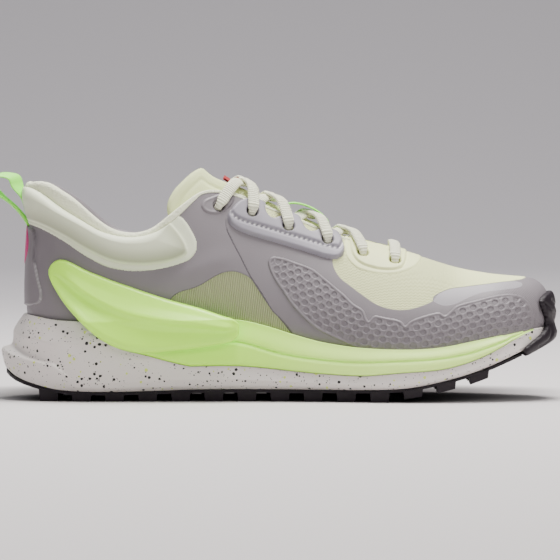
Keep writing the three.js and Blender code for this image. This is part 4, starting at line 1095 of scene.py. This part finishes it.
topPatchOutline = [
    (0.36, 0.879), (0.366, 0.855), (0.385, 0.843), (0.401, 0.858), (0.415, 0.893), (0.417, 0.928),
    (0.398, 0.939), (0.38, 0.923), (0.365, 0.905),
]


def makeTopPatch(sign):
    x, z, inset, s, turn = drapeGrid(topPatchOutline, sign, 0.4)
    inset = np.minimum(inset, edgeSide(x) - z - 2.0)
    height = rounded(inset, 0.8, 0.45) + 0.3 * np.exp(-(((inset - 0.9) / 0.6) ** 2))
    away = eyeletDistance(lastPoint(s, turn), sign)
    height = withWells(height, away)
    name = "topPatch" + ("Medial" if sign < 0 else "Lateral")
    drapePiece(name, s, turn, inset, height, greyFilm, "film", hole=away < holes["radius"] - 0.3)


dimpleOutline = [
    (0.479, 0.622), (0.481, 0.637), (0.486, 0.649), (0.504, 0.645), (0.527, 0.625), (0.557, 0.596),
    (0.575, 0.562), (0.595, 0.52), (0.614, 0.48), (0.63, 0.44), (0.647, 0.412), (0.656, 0.364),
    (0.667, 0.387), (0.685, 0.38), (0.713, 0.364), (0.721, 0.344), (0.73, 0.364), (0.76, 0.392),
    (0.781, 0.402), (0.791, 0.39), (0.801, 0.409), (0.811, 0.431), (0.848, 0.457), (0.886, 0.479),
    (0.912, 0.482), (0.932, 0.466), (0.945, 0.421), (0.95, 0.37), (0.947, 0.33), (0.897, 0.294),
    (0.825, 0.253), (0.717, 0.23), (0.649, 0.234), (0.607, 0.276), (0.564, 0.33), (0.539, 0.385),
    (0.518, 0.444), (0.505, 0.494), (0.487, 0.563),
]
dimpleSpine = [
    (0.47, 0.64), (0.493, 0.56), (0.54, 0.48), (0.591, 0.403), (0.649, 0.35), (0.717, 0.33), (0.789, 0.36),
    (0.861, 0.41), (0.932, 0.44), (0.97, 0.45),
]
dimple = dict(
    spacing=0.4, sheet=0.35, pitch=5.6, rowGap=2.9, depth=1.05, radius=1.65, rim=0.24, rimWidth=0.4,
    outlineRise=0.4, fadeFrom=2.5, fadeTo=9.0,
)


def makeDimples(sign):
    x, z, inset, s, turn = drapeGrid(dimpleOutline, sign, dimple["spacing"])
    spine = smoothLoop(dimpleSpine, 10, False)
    run = np.concatenate([[0], np.cumsum(np.hypot(*np.diff(spine, axis=0).T))])
    gap = np.hypot(x[..., None] - spine[:, 0], z[..., None] - spine[:, 1])
    near = gap.argmin(-1)
    way = np.gradient(spine, axis=0)
    way /= np.linalg.norm(way, axis=1, keepdims=True)
    dx, dz = x - spine[near, 0], z - spine[near, 1]
    onSpine = run[near] + dx * way[near, 0] + dz * way[near, 1]
    across = dz * way[near, 0] - dx * way[near, 1]
    row = np.round(across / dimple["rowGap"])
    best = np.full(x.shape, 9.0)
    for shift in (-1, 0, 1):
        r = row + shift
        offset = onSpine / dimple["pitch"] - 0.5 * (r % 2)
        away = np.hypot((offset - np.round(offset)) * dimple["pitch"], (across - r * dimple["rowGap"]) * 1.12)
        best = np.minimum(best, away)
    cup = smoothStep((dimple["radius"] - best) / 0.7)
    rim = np.exp(-(((best - dimple["radius"] - 0.25) / dimple["rimWidth"]) ** 2))
    foot = z - heightAt(around("seat", s))
    fade = smoothStep((foot - dimple["fadeFrom"]) / (dimple["fadeTo"] - dimple["fadeFrom"]))
    inner = smoothStep((inset - 1.3) / 0.8)
    border = np.exp(-(((inset - 0.6) / 0.5) ** 2))
    height = rounded(inset, 0.5, dimple["sheet"])
    height += inner * (0.25 + 0.75 * fade) * (dimple["rim"] * rim - dimple["depth"] * cup)
    height += dimple["outlineRise"] * border * fade
    name = "dimpleFilm" + ("Medial" if sign < 0 else "Lateral")
    drapePiece(name, s, turn, inset, height, greyFilm, "film")


for sign, word in ((-1, "medial"), (1, "lateral")):
    makeStay(sign, "eyestay_" + word)
    makeTopPatch(sign)
    makeDimples(sign)
makeVampStay()
print("stays and dimple films made")

# wings: moulded lime plates from the band up over the heel's sides
wingLines = [
    (0.089, 0.592, 0.572), (0.094, 0.616, 0.54), (0.103, 0.634, 0.498), (0.115, 0.638, 0.452),
    (0.128, 0.628, 0.411), (0.159, 0.589, 0.33), (0.182, 0.566, 0.283), (0.205, 0.543, 0.25),
    (0.229, 0.522, 0.23), (0.262, 0.493, 0.22), (0.308, 0.456, 0.227), (0.36, 0.42, 0.243),
    (0.398, 0.388, 0.26), (0.418, 0.372, 0.275), (0.428, 0.35, 0.305),
]
wing = dict(rows=260, across=80, blend=4.0, lean=0.45, fit=0.7, crestOut=1.3)
# share: across from the low edge to the top; out: how far the face stands off the wall
wingFace = [
    (0.0, -0.8), (0.012, 1.3), (0.05, 2.5), (0.12, 2.75), (0.24, 2.0), (0.38, 1.4), (0.49, 2.0),
    (0.57, 4.0), (0.62, 4.5), (0.8, 3.2), (0.93, 2.75), (0.975, 2.3), (0.993, 1.0), (1.0, -0.8),
]


def soften(a, b, width):
    f = np.clip(0.5 + (a - b) / (2 * width), 0, 1)
    return b + (a - b) * f + width * f * (1 - f)


def soleHalf(x, sign):
    ribs = np.linspace(0, toeRib, 1500)
    planX, planY, _, _ = planPoint(sign * ribs)
    order = np.argsort(planX)
    return np.interp(x, planX[order], sign * planY[order])


def makeWing(sign, node):
    ends = [row[0] for row in wingLines]
    bend = np.linspace(0, math.pi, wing["rows"])
    at = ends[0] + (ends[-1] - ends[0]) * (0.5 - 0.5 * np.cos(bend))
    top = along(ends, [row[1] for row in wingLines], at)
    low = along(ends, [row[2] for row in wingLines], at)
    share = np.linspace(0, 1, wing["across"])
    share = np.sort(np.concatenate([share, (0.004, 0.008, 0.016, 0.984, 0.992, 0.996)]))
    x = lengthAt(at)[:, None] + 0 * share
    z = heightAt(low[:, None] + (top - low)[:, None] * share)
    seat = heightAt(0.285)
    s, turn = ontoLast(x, np.maximum(z, seat), sign)
    fromLast = np.abs(lastPoint(s, turn)[..., 1])
    overRim = np.maximum(0, z - heightAt(alongSide("rim", at))[:, None])
    fromSole = soleHalf(x, sign) + wing["crestOut"] - wing["lean"] * overRim
    base = soften(fromLast, fromSole, wing["blend"]) + wing["fit"]
    tipFade = smoothStep((at - ends[0]) / 0.055)[:, None] * smoothStep((ends[-1] - at) / 0.03)[:, None]
    face = np.interp(share, [row[0] for row in wingFace], [row[1] for row in wingFace])
    kernel = np.ones(5) / 5
    face[3:-3] = np.convolve(face, kernel, "same")[3:-3]
    plain = 2.6 * np.minimum(1, rounded(np.minimum(share, 1 - share), 0.06, 1.0)) - 0.8
    height = plain + (face - plain) * tipFade
    endEdge = np.minimum(at - ends[0], ends[-1] - at)[:, None] / 0.006
    height = height - (height + 0.8) * (1 - np.sqrt(1 - (1 - np.clip(endEdge, 0, 1)) ** 2))
    y = sign * (base + height)
    points = np.stack([x, y, z], -1)
    faces = gridFaces(*x.shape)
    piece = makeMesh(node.replace("_m", "M").replace("_l", "L"), points.reshape(-1, 3), faces)
    return settle(piece, wingFoam, "lime_foam", node)


makeWing(-1, "wing_medial")
makeWing(1, "wing_lateral")
print("wings made")

# collar: padded cuff outside, pebbled lining over the rim
cuffOutline = [
    (-0.03, 0.985), (0.03, 0.985), (0.063, 0.97), (0.102, 0.91), (0.148, 0.82), (0.194, 0.762),
    (0.24, 0.742), (0.285, 0.77), (0.319, 0.835), (0.343, 0.764), (0.352, 0.7), (0.343, 0.648),
    (0.32, 0.619), (0.262, 0.591), (0.201, 0.604), (0.159, 0.654), (0.114, 0.729), (0.068, 0.787),
    (0.03, 0.805), (-0.03, 0.81),
]
pillowOutline = [
    (-0.03, 1.1), (0.03, 1.1), (0.12, 1.0), (0.2, 0.9), (0.26, 0.87), (0.3, 0.81), (0.319, 0.76),
    (0.333, 0.7), (0.334, 0.668), (0.318, 0.64), (0.262, 0.615), (0.204, 0.63), (0.16, 0.679),
    (0.114, 0.75), (0.068, 0.805), (0.03, 0.822), (-0.03, 0.826),
]
darkLine = [
    (-0.03, 0.962), (0.03, 0.966), (0.054, 0.963), (0.079, 0.935), (0.114, 0.869), (0.148, 0.816),
    (0.182, 0.767), (0.219, 0.742), (0.251, 0.742), (0.278, 0.761), (0.304, 0.802), (0.318, 0.831),
    (0.344, 0.896), (0.362, 0.937), (0.378, 0.945), (0.396, 0.943), (0.423, 0.923), (0.444, 0.901),
    (0.47, 0.872),
]
cuff = dict(
    spacing=0.55, ribEnd=6.6, rows=104, sheet=0.8, dome=5.4, domeReach=13.0, creaseReach=5.0, shadeReach=10.0,
    backShare=0.3,
)


def turnAt(s, line, lower=0.0):
    low, high = np.zeros_like(s), np.ones_like(s)
    for _ in range(26):
        middle = (low + high) / 2
        point = lastPoint(s, middle)
        below = point[..., 2] < heightAt(alongLine(line, shareAt(point[..., 0]))) - lower
        low, high = np.where(below, middle, low), np.where(below, high, middle)
    return low


def makeCuff():
    s = columnsAround(cuff["spacing"], -cuff["ribEnd"], cuff["ribEnd"], 0.8)
    top = turnAt(s, darkLine, -1.2)
    foot = [(a, 0.56 + 0.22 * float(smoothStep((0.2 - a) / 0.2))) for a in np.linspace(-0.05, 0.5, 12)]
    low = turnAt(s, foot)
    turn = turnsUp(s, low, top, cuff["rows"])
    grid = s[:, None] + 0 * turn
    spot = lastPoint(grid, turn)
    x, z = spot[..., 0], spot[..., 2]
    inset = lineDistance(x, z, smoothLoop(cuffOutline, 6), True)
    pillow = lineDistance(x, z, smoothLoop(pillowOutline, 6), True)
    crease = heightAt(alongLine(darkLine, shareAt(x))) - z
    dome = rounded(pillow, cuff["domeReach"], 1.0)
    dome = np.minimum(dome, rounded(crease, cuff["creaseReach"], 1.0) ** 0.8)
    dome = dome * (cuff["backShare"] + (1 - cuff["backShare"]) * smoothStep((np.abs(grid) - 0.8) / 1.8))
    height = rounded(inset, 1.0, cuff["sheet"]) + cuff["dome"] * dome
    height = np.where(crease < 0, -0.8, height)
    # shade: painted shade, darker along the pillow's lower and front edge where it turns under
    shade = smoothStep((cuff["shadeReach"] - pillow) / cuff["shadeReach"]) * smoothStep(pillow / 1.6)
    edge = np.minimum(inset, crease + 0.6)
    fields = dict(shade=shade)
    piece = drapePiece(
        "collarCuff", grid, turn, edge, height, sagePadding, "padding", "collar_cuff", fields=fields)


# throatDrop, paddedDrop: how far under the collar's line the rim's edges lie; farther, nearer: more on the
# lateral side and less on the medial; backRise: less behind the heel; flatter: how much less the rim rises
lining = dict(
    spacing=0.9, ribEnd=9.6, outerRows=12, rimRows=12, innerRows=34, roll=1.1, throatDrop=1.6, paddedDrop=4.0,
    farther=1.8, nearer=0.3, backRise=2.0, flatter=0.9, innerDepth=40.0, clear=0.9,
)


def makeLining():
    s = columnsAround(lining["spacing"], -lining["ribEnd"], lining["ribEnd"], 0.85)
    low = turnAt(s, darkLine, 0.3)
    at = around("at", s)
    fade = smoothStep((shell["paddingEnd"] - at) / (shell["paddingEnd"] - shell["paddingFront"]))
    drop = lining["throatDrop"] + (lining["paddedDrop"] - lining["throatDrop"]) * fade
    uneven = np.where(s > 0, lining["farther"], -lining["nearer"])
    drop = drop + uneven * fade * smoothStep((np.abs(s) - 0.3) / 1.5)
    drop = drop - lining["backRise"] * (1 - smoothStep(np.abs(s) / 1.8))
    edge = turnAt(s, collarLine, drop)
    low = np.minimum(low, edge - 0.004)
    shares = np.linspace(0, 1, lining["outerRows"])
    turn = low[:, None] + (edge - low)[:, None] * shares
    outer = lastPoint(s[:, None], turn)
    normal = outwardAt(s[:, None], turn)
    tall = np.linalg.norm(outer[:, -1] - outer[:, 0], axis=1)[:, None]
    bulge = np.sqrt(np.clip(1 - (1 - np.minimum(shares * 2.2, 1)) ** 2, 0, 1))
    roll = lining["roll"] * np.clip(tall / 4, 0.35, 1) * bulge
    outer = outer + normal * (roll - 0.25 * (shares < 0.01))[..., None]
    down = turnAt(s, collarLine, lining["innerDepth"])
    inTurn = turnsUp(s, down, edge, lining["innerRows"])[:, ::-1]
    innerBase = lastPoint(s[:, None], inTurn)
    deep = wallDepth(innerBase, innerBase[:, :1, 2]) + lining["clear"]
    inner = innerBase - outwardAt(s[:, None], inTurn) * deep[..., None]
    a, b = outer[:, -1], inner[:, 0]
    angle = np.linspace(0, math.pi, lining["rimRows"] + 2)[1:-1]
    middle, half = (a + b) / 2, (a - b) / 2
    rise = np.zeros_like(a)
    paddedRise = lining["paddedDrop"] - lining["flatter"]
    rise[:, 2] = lining["throatDrop"] + (paddedRise - lining["throatDrop"]) * fade
    rim = middle[:, None] + half[:, None] * np.cos(angle)[:, None] + rise[:, None] * np.sin(angle)[:, None]
    points = np.concatenate([outer, rim, inner], 1)
    rows, columns = points.shape[:2]
    piece = makeMesh("collarLining", points.reshape(-1, 3), gridFaces(rows, columns))
    settle(piece, pebbleLining, "padding")


makeCuff()
makeLining()
print("collar made")

# heel tab with a plain magenta oval
heelTabOutline = [
    (-0.03, 0.795), (0.045, 0.79), (0.062, 0.772), (0.066, 0.72), (0.064, 0.65), (0.07, 0.56),
    (0.077, 0.479), (0.073, 0.444), (0.053, 0.431), (-0.03, 0.43),
]
heelTab = dict(height=1.1, edge=0.6, lipRise=0.25)
oval = dict(middle=80.0, tall=9.8, wide=16.0, height=1.45)


def makeHeelTab():
    s = columnsAround(0.6, -3.4, 3.4, 0.5)
    low = turnAt(s, [(-0.1, 0.4), (0.0, 0.4), (0.2, 0.4), (0.4, 0.4)])
    high = turnAt(s, [(-0.1, 0.82), (0.0, 0.82), (0.2, 0.82), (0.4, 0.82)])
    turn = turnsUp(s, low, high, 90)
    grid = s[:, None] + 0 * turn
    spot = lastPoint(grid, turn)
    inset = lineDistance(spot[..., 0], spot[..., 2], smoothLoop(heelTabOutline, 6), True)
    height = rounded(inset, heelTab["edge"], heelTab["height"])
    height += heelTab["lipRise"] * np.exp(-(((inset - 0.7) / 0.4) ** 2))
    line = np.exp(-(((inset - 0.1) / 0.24) ** 2))
    upperPart = smoothStep((spot[..., 2] - heightAt(0.62)) / 2 + 0.5)
    # dark: a dark line along the tab's upper edge; stitchAndGlint: a painted glint, a pale line along its
    # lower edge
    fields = dict(dark=0.9 * line * upperPart, stitchAndGlint=0.35 * line * (1 - upperPart))
    drapePiece("heelTab", grid, turn, inset, height, greyFilm, "film", "heel_tab", fields=fields)
    ring = 1 - np.hypot(spot[..., 1] / oval["wide"], (spot[..., 2] - oval["middle"]) / oval["tall"])
    inset = ring * oval["wide"]
    height = rounded(inset, 0.4, 0.3) + oval["height"] - 0.3
    points = lastPoint(grid, turn) + outwardAt(grid, turn) * height[..., None]
    faces = gridFaces(*inset.shape, keep=inset > 0)
    settle(makeMesh("heelOval", points.reshape(-1, 3), faces), magentaInk, "film")


makeHeelTab()
print("heel tab made")

# laces: flat oval cords that come up through each eyelet, cross and dive under the far edge
lace = dict(
    width=6.0, thickness=2.3, sides=18, step=0.34, rib=0.08, ribPitch=1.25, clear=0.45, throatRest=-1.2,
    squeeze=0.62, topLean=1.7, stayHeights=(0.5, 2.4, 2.4, 2.4, 1.4, 1.4), square=2.6,
)


def restOver(row):
    return lace["stayHeights"][row] + lace["clear"] + lace["thickness"] / 2


def smoothPath(points, step):
    points = np.asarray(points, float)
    run = np.concatenate([[0], np.cumsum(np.linalg.norm(np.diff(points, axis=0), axis=1))])
    keep = np.concatenate([[True], np.diff(run) > 0.05])
    run, points = run[keep], points[keep]
    want = np.linspace(0, run[-1], max(int(run[-1] / step), 8))
    return np.stack([along(run, points[:, k], want) for k in range(3)], 1), want


def cord(path, ups, width, thickness, wide, rib=0.0):
    way = np.gradient(path, axis=0)
    way /= np.linalg.norm(way, axis=1, keepdims=True)
    sideways = np.cross(way, ups)
    sideways /= np.linalg.norm(sideways, axis=1, keepdims=True)
    up = np.cross(sideways, way)
    run = np.concatenate([[0], np.cumsum(np.linalg.norm(np.diff(path, axis=0), axis=1))])
    angle = np.arange(lace["sides"]) / lace["sides"] * 2 * math.pi
    a = np.sign(np.cos(angle)) * np.abs(np.cos(angle)) ** (2 / lace["square"])
    b = np.sign(np.sin(angle)) * np.abs(np.sin(angle)) ** (2 / lace["square"])
    swell = rib * np.sin(run * 2 * math.pi / lace["ribPitch"])
    half = (width / 2 * wide + swell)[:, None, None]
    deep = (thickness / 2 / np.sqrt(np.maximum(wide, 0.3)) + swell)[:, None, None]
    rings = path[:, None] + sideways[:, None] * half * a[None, :, None]
    rings = rings + up[:, None] * deep * b[None, :, None]
    count, sides = rings.shape[:2]
    points = np.concatenate([rings.reshape(-1, 3), path[:1], path[-1:]])
    faces = [tuple(f) for f in gridFaces(count, sides, wrapColumns=True)]
    last = (count - 1) * sides
    for k in range(sides):
        n = (k + 1) % sides
        faces.append((count * sides, k, n, n))
        faces.append((count * sides + 1, last + n, last + k, last + k))
    runMm = np.concatenate([np.repeat(run, sides), run[:1], run[-1:]])
    return points, np.array(faces), runMm


def strandPath(start, end, lift, under):
    (row, sign), (farRow, farSign) = start, end
    s0, turn0 = eyeletSpots[sign][row]
    s1, turn1 = eyeletSpots[farSign][farRow]
    share = np.linspace(0, 1, 240)
    across = -(1 - turn0) + share * (2 - turn0 - turn1)
    lean = lace["topLean"] if farRow == 0 else 1
    ribs = abs(s0) + (abs(s1) - abs(s0)) * share ** lean
    signs = np.where(across < 0, sign, -sign)
    turns = 1 - np.abs(across)
    spot = lastPoint(signs * ribs, turns)
    normal = outwardAt(signs * ribs, turns)
    nearTop = np.abs(across) < 0.03
    normal[nearTop] = np.array([0.25, 0, 1]) / math.hypot(0.25, 1)
    for k in range(3):
        normal[1:-1] = (normal[:-2] + normal[1:-1] + normal[2:]) / 3
    normal /= np.linalg.norm(normal, axis=1, keepdims=True)
    arc = np.concatenate([[0], np.cumsum(np.linalg.norm(np.diff(spot, axis=0), axis=1))])
    inOpening = (spot[:, 2] > edgeSide(spot[:, 0])) & (shareAt(spot[:, 0]) < shoe["throatFront"])
    opens, closes = (arc[inOpening][0], arc[inOpening][-1]) if inOpening.any() else (arc[-1] / 2, arc[-1] / 2)
    stop = closes + 2.0 if under else arc[-1]
    middle, span = lace["throatRest"] + lift, max((closes - opens) / 2, 4)
    rest, farRest = restOver(row), restOver(farRow)
    drop = smoothStep((arc - opens - 1) / (span - 1))
    out = rest + (middle - rest) * drop
    if under:
        sink = smoothStep((arc - opens - span) / (closes - 2.5 - opens - span))
        out = np.where(arc > opens + span, middle + (lace["throatRest"] - 1.3 - middle) * sink, out)
    else:
        climb = smoothStep((arc - opens - span) / (closes - 1 - opens - span))
        out = np.where(arc > opens + span, middle + (farRest - middle) * climb, out)
    leave = 4.6
    body = (arc > leave) & (arc < (stop if under else stop - leave))
    path, ups = [], []
    ahead = spot[12] - spot[0]
    ahead /= np.linalg.norm(ahead)
    for depth, forward in ((-6.0, -0.6), (-2.5, -0.5), (0.4, -0.3), (rest * 0.75, 0.9), (rest * 1.02, 2.6)):
        path.append(spot[0] + normal[0] * depth + ahead * forward)
        ups.append(-ahead if depth < 1 else normal[0] - ahead * 0.5)
    path += list((spot + normal * out[:, None])[body][::6])
    ups += list(normal[body][::6])
    if not under:
        behind = spot[-13] - spot[-1]
        behind /= np.linalg.norm(behind)
        dive = ((farRest * 1.02, 2.6), (farRest * 0.75, 0.9), (0.4, -0.3), (-2.5, -0.5), (-6.0, -0.6))
        for depth, forward in dive:
            path.append(spot[-1] + normal[-1] * depth + behind * forward)
            ups.append(-behind if depth < 1 else normal[-1] - behind * 0.5)
    path, ups = np.array(path), np.array(ups)
    run = np.concatenate([[0], np.cumsum(np.linalg.norm(np.diff(path, axis=0), axis=1))])
    smooth, want = smoothPath(path, lace["step"])
    upNow = np.stack([np.interp(want, run, ups[:, k]) for k in range(3)], 1)
    upNow /= np.linalg.norm(upNow, axis=1, keepdims=True)
    wide = lace["squeeze"] + (1 - lace["squeeze"]) * smoothStep((want - 6.2) / 5)
    if not under:
        farWide = lace["squeeze"] + (1 - lace["squeeze"]) * smoothStep((want[-1] - want - 6.2) / 5)
        wide = np.minimum(wide, farWide)
    return smooth, upNow, wide


def makeLaces(name, strands, node):
    points, faces, runs, count = [], [], [], 0
    for start, end, lift, under in strands:
        path, ups, wide = strandPath(start, end, lift, under)
        p, f, r = cord(path, ups, lace["width"], lace["thickness"], wide, lace["rib"])
        points.append(p)
        faces.append(f + count)
        runs.append(r)
        count += len(p)
    piece = makeMesh(name, np.concatenate(points), np.concatenate(faces), dict(runMm=np.concatenate(runs)))
    return settle(piece, laceWeave, "lace", node)


over = lace["thickness"] * 0.9
for k, row in enumerate((4, 3, 2, 1)):
    under = row - 1 > 0
    strands = [((row, -1), (row - 1, 1), over, under), ((row, 1), (row - 1, -1), 0.0, under)]
    makeLaces(f"laceCross{k + 1}", strands, f"lace_cross_{k + 1}")
makeLaces("laceBar", [((5, -1), (5, 1), restOver(5) - lace["throatRest"], False)], "lace_bar")
print("laces made")

# tongue, its label, and the keeper strap
tongueOutline = [
    (0.43, 1.0), (0.39, 1.034), (0.378, 1.055), (0.366, 1.078), (0.353, 1.06), (0.336, 1.022),
    (0.314, 0.96), (0.303, 0.9), (0.305, 0.84), (0.33, 0.77), (0.42, 0.74), (0.52, 0.66), (0.62, 0.6),
    (0.72, 0.585), (0.775, 0.6), (0.775, 0.72), (0.7, 0.75), (0.6, 0.83), (0.5, 0.95),
]
tongueForm = dict(out=-3.0, thickness=4.2, edge=2.4, across=150, stitchDepth=0.5, stitchWide=0.9)


def ontoOutline(inset, *grids):
    down, across = np.gradient(inset)
    steep = np.maximum(down**2 + across**2, 1e-4)
    share = np.where(inset < 0, -inset / steep, 0)
    down, across = np.clip(share * down, -1.6, 1.6), np.clip(share * across, -1.6, 1.6)
    return [g + down * np.gradient(g, axis=0) + across * np.gradient(g, axis=1) for g in grids]


def makeTongue():
    ribs = columnsAround(0.6, 4.7, 13.2, 0.9)
    share = np.linspace(-1, 1, tongueForm["across"])
    low = turnAt(ribs, [(0.2, 0.7), (0.3, 0.74), (0.42, 0.7), (0.6, 0.56), (0.72, 0.55), (0.8, 0.55)])
    line = smoothLoop(tongueOutline, 6)
    rib, sideways = ribs[:, None] + 0 * share, share + 0 * ribs[:, None]
    turn = 1 - np.abs(sideways) * (1 - low)[:, None]
    spot = lastPoint(np.where(sideways < 0, -rib, rib), turn)
    inset = lineDistance(spot[..., 0], spot[..., 2], line, True)
    rib, sideways = ontoOutline(inset, rib, sideways)
    turn = 1 - np.abs(sideways) * (1 - low)[:, None]
    s = np.where(sideways < 0, -rib, rib)
    spot, normal = lastPoint(s, turn), outwardAt(s, turn)
    for _ in range(2):
        middle = np.abs(share) < 0.08
        blurred = (np.roll(normal, 3, 1) + normal + np.roll(normal, -3, 1)) / 3
        normal = np.where(middle[None, :, None], blurred, normal)
    normal /= np.linalg.norm(normal, axis=-1, keepdims=True)
    full = rounded(inset, tongueForm["edge"], 1.0)
    middle = tongueForm["out"] - tongueForm["thickness"] / 2
    half = tongueForm["thickness"] / 2 * full
    seam = np.exp(-(((inset - 6) / tongueForm["stitchWide"]) ** 2))
    outerFace = spot + normal * (middle + half - tongueForm["stitchDepth"] * seam)[..., None]
    innerFace = spot + normal * (middle - half)[..., None]
    rows, columns = inset.shape
    faces = gridFaces(rows, columns)
    faces = faces[(inset.reshape(-1)[faces] > 0).any(1)]
    points = np.concatenate([outerFace.reshape(-1, 3), innerFace.reshape(-1, 3)])
    faces = np.concatenate([faces, faces[:, ::-1] + rows * columns])
    piece = settle(makeMesh("tonguePad", points, faces), tongueKnit, "tongue_mesh", "tongue")


label = dict(start=0.405, end=0.432, height=0.45, halfWidth=6.0, rows=30, columns=41)
keeper = dict(start=0.512, end=0.588, width=9.0, thickness=1.1, low=-1.9, rise=3.3, shape=0.4)


def ridgeRun(start, end, count):
    x = lengthAt(np.linspace(start, end, count))
    ribs = np.linspace(0, toeRib, 2000)
    ridge = lastPoint(ribs, np.ones_like(ribs))
    return lastPoint(np.interp(x, ridge[:, 0], ribs), np.ones(count))


def makeKeeper():
    count = 90
    path = ridgeRun(keeper["start"], keeper["end"], count)
    share = np.linspace(0, 1, count)
    up = np.array([0.3, 0, 1]) / math.hypot(0.3, 1)
    arch = np.sin(math.pi * share) ** keeper["shape"]
    path = path + up * (keeper["low"] + (keeper["rise"] - keeper["low"]) * arch)[:, None]
    path = smoothPath(path, 0.4)[0]
    ups = np.repeat(up[None], len(path), 0)
    points, faces, runs = cord(path, ups, keeper["width"], keeper["thickness"], np.ones(len(path)))
    settle(makeMesh("laceKeeper", points, faces, dict(runMm=runs)), mintWebbing, "webbing", "lace_keeper")


def makeLabel():
    ribs = np.linspace(0, toeRib, 2000)
    ridge = lastPoint(ribs, np.ones_like(ribs))[:, 0]
    rib = np.interp(lengthAt(np.linspace(label["start"], label["end"], label["rows"])), ridge, ribs)
    fall = np.linspace(0, 0.3, 400)
    reach = lastPoint(np.full(400, -rib[len(rib) // 2]), 1 - fall)
    reach = np.abs(reach[:, 1] - reach[0, 1])
    share = np.linspace(-1, 1, label["columns"])[None, :]
    across = np.interp(np.abs(share) * label["halfWidth"], reach, fall)
    s, turn = np.where(share < 0, -1.0, 1.0) * rib[:, None], 1 - across + 0 * rib[:, None]
    spot, normal = lastPoint(s, turn), outwardAt(s, turn)
    for _ in range(3):
        normal = (np.roll(normal, 3, 1) + normal + np.roll(normal, -3, 1)) / 3
    normal[:, 0], normal[:, -1] = normal[:, 3], normal[:, -4]
    normal /= np.linalg.norm(normal, axis=-1, keepdims=True)
    outer = spot + normal * (tongueForm["out"] + label["height"])
    inner = spot + normal * (tongueForm["out"] - label["height"])
    faces = gridFaces(*across.repeat(len(rib), 0).shape)
    points = np.concatenate([outer.reshape(-1, 3), inner.reshape(-1, 3)])
    faces = np.concatenate([faces, faces[:, ::-1] + outer.size // 3])
    settle(makeMesh("tongueLabel", points, faces), redLabel, "webbing")


makeTongue()
makeKeeper()
makeLabel()
print("tongue made")

# pull loop: a folded strap of webbing that twists as it rises from the heel
loopRoute = [
    (0.05, 0.785), (0.045, 0.85), (0.036, 0.925), (0.0275, 0.972), (0.0215, 1.008), (0.008, 1.02),
    (-0.008, 1.02), (-0.0185, 0.998), (-0.017, 0.962), (-0.001, 0.926), (0.018, 0.888), (0.036, 0.84),
    (0.05, 0.785),
]
loop = dict(width=10.5, thickness=1.5, twist=0.5, narrow=0.5)


def makeLoop():
    route = smoothLoop(loopRoute, 16, False)
    path = np.stack([route[:, 0], 0 * route[:, 0], route[:, 1]], 1)
    path = smoothPath(path, 0.4)[0]
    way = np.gradient(path, axis=0)
    way /= np.linalg.norm(way, axis=1, keepdims=True)
    ups = np.cross(way, np.array([0.0, 1.0, 0.0]))
    rise = smoothStep((path[:, 2] - heightAt(0.86)) / 14)
    wide = loop["narrow"] + (1 - loop["narrow"]) * rise
    points, faces, runs = cord(path, ups, loop["width"], loop["thickness"], wide)
    lift = smoothStep((points[:, 2] - heightAt(0.88)) / 12)
    points[:, 0] += loop["twist"] * points[:, 1] * lift
    points[:, 2] += 0.18 * points[:, 1] * lift
    settle(makeMesh("pullLoop", points, faces, dict(runMm=runs)), mintWebbing, "webbing", "pull_loop")


makeLoop()
print("pull loop made")

# toe bumper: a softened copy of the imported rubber, with its twisted creases as troughs seen from the side
twist = [
    [(0.972, 0.447), (0.98, 0.425), (0.986, 0.398), (0.99, 0.36), (0.993, 0.32)],
    [(0.975, 0.365), (0.982, 0.335), (0.984, 0.305), (0.977, 0.272), (0.96, 0.25)],
    [(0.985, 0.46), (0.993, 0.43), (0.998, 0.39)],
]
bumper = dict(voxel=0.75, smoothing=34, depth=0.75, trough=0.6, swell=0.55, wider=1.5, outward=0.8, lower=0.9)


def makeToeBumper():
    piece = bpy.data.objects.new("toeBumper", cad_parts["toe_bumper"].data.copy())
    bpy.context.collection.objects.link(piece)
    remesh = piece.modifiers.new("even", "REMESH")
    remesh.mode = "VOXEL"
    remesh.voxel_size = bumper["voxel"] * mm
    soften = piece.modifiers.new("soften", "SMOOTH")
    soften.iterations = bumper["smoothing"]
    shaped = bpy.data.meshes.new_from_object(piece.evaluated_get(bpy.context.evaluated_depsgraph_get()))
    piece.modifiers.clear()
    piece.data = shaped
    count = len(shaped.vertices)
    points, normals = np.empty(count * 3), np.empty(count * 3)
    shaped.vertices.foreach_get("co", points)
    shaped.vertices.foreach_get("normal", normals)
    points, normals = points.reshape(-1, 3) / mm, normals.reshape(-1, 3)
    depth = np.full(count, bumper["swell"])
    for line in twist:
        gap = lineDistance(points[:, 0], points[:, 2], smoothLoop(line, 8, False), False)
        depth -= bumper["depth"] * np.exp(-((gap / bumper["trough"]) ** 2))
    outside = smoothStep(normals @ np.array([0.8, 0, 0]) + np.abs(normals[:, 1]) * 0.6 + 0.2)
    points = points + normals * (depth * outside)[:, None]
    flank = smoothStep((-normals[:, 0] - 0.1) / 0.6) * smoothStep((points[:, 2] - heightAt(0.2)) / 8)
    points[:, 0] -= bumper["wider"] * flank
    points[:, 1] += np.sign(points[:, 1]) * bumper["outward"] * bumper["wider"] * flank
    points[:, 2] -= bumper["lower"] * smoothStep((points[:, 2] - heightAt(0.38)) / 10)
    points *= mm
    shaped.vertices.foreach_set("co", points.reshape(-1))
    shaped.shade_smooth()
    settle(piece, plumRubber, "rubber", "toe_bumper")


makeToeBumper()
print("toe bumper made")

for name, material in (("outsole", plumRubber), ("insole", sockFoam)):
    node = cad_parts[name]
    node.data.materials.clear()
    node.data.materials.append(material)

print("scene finished")
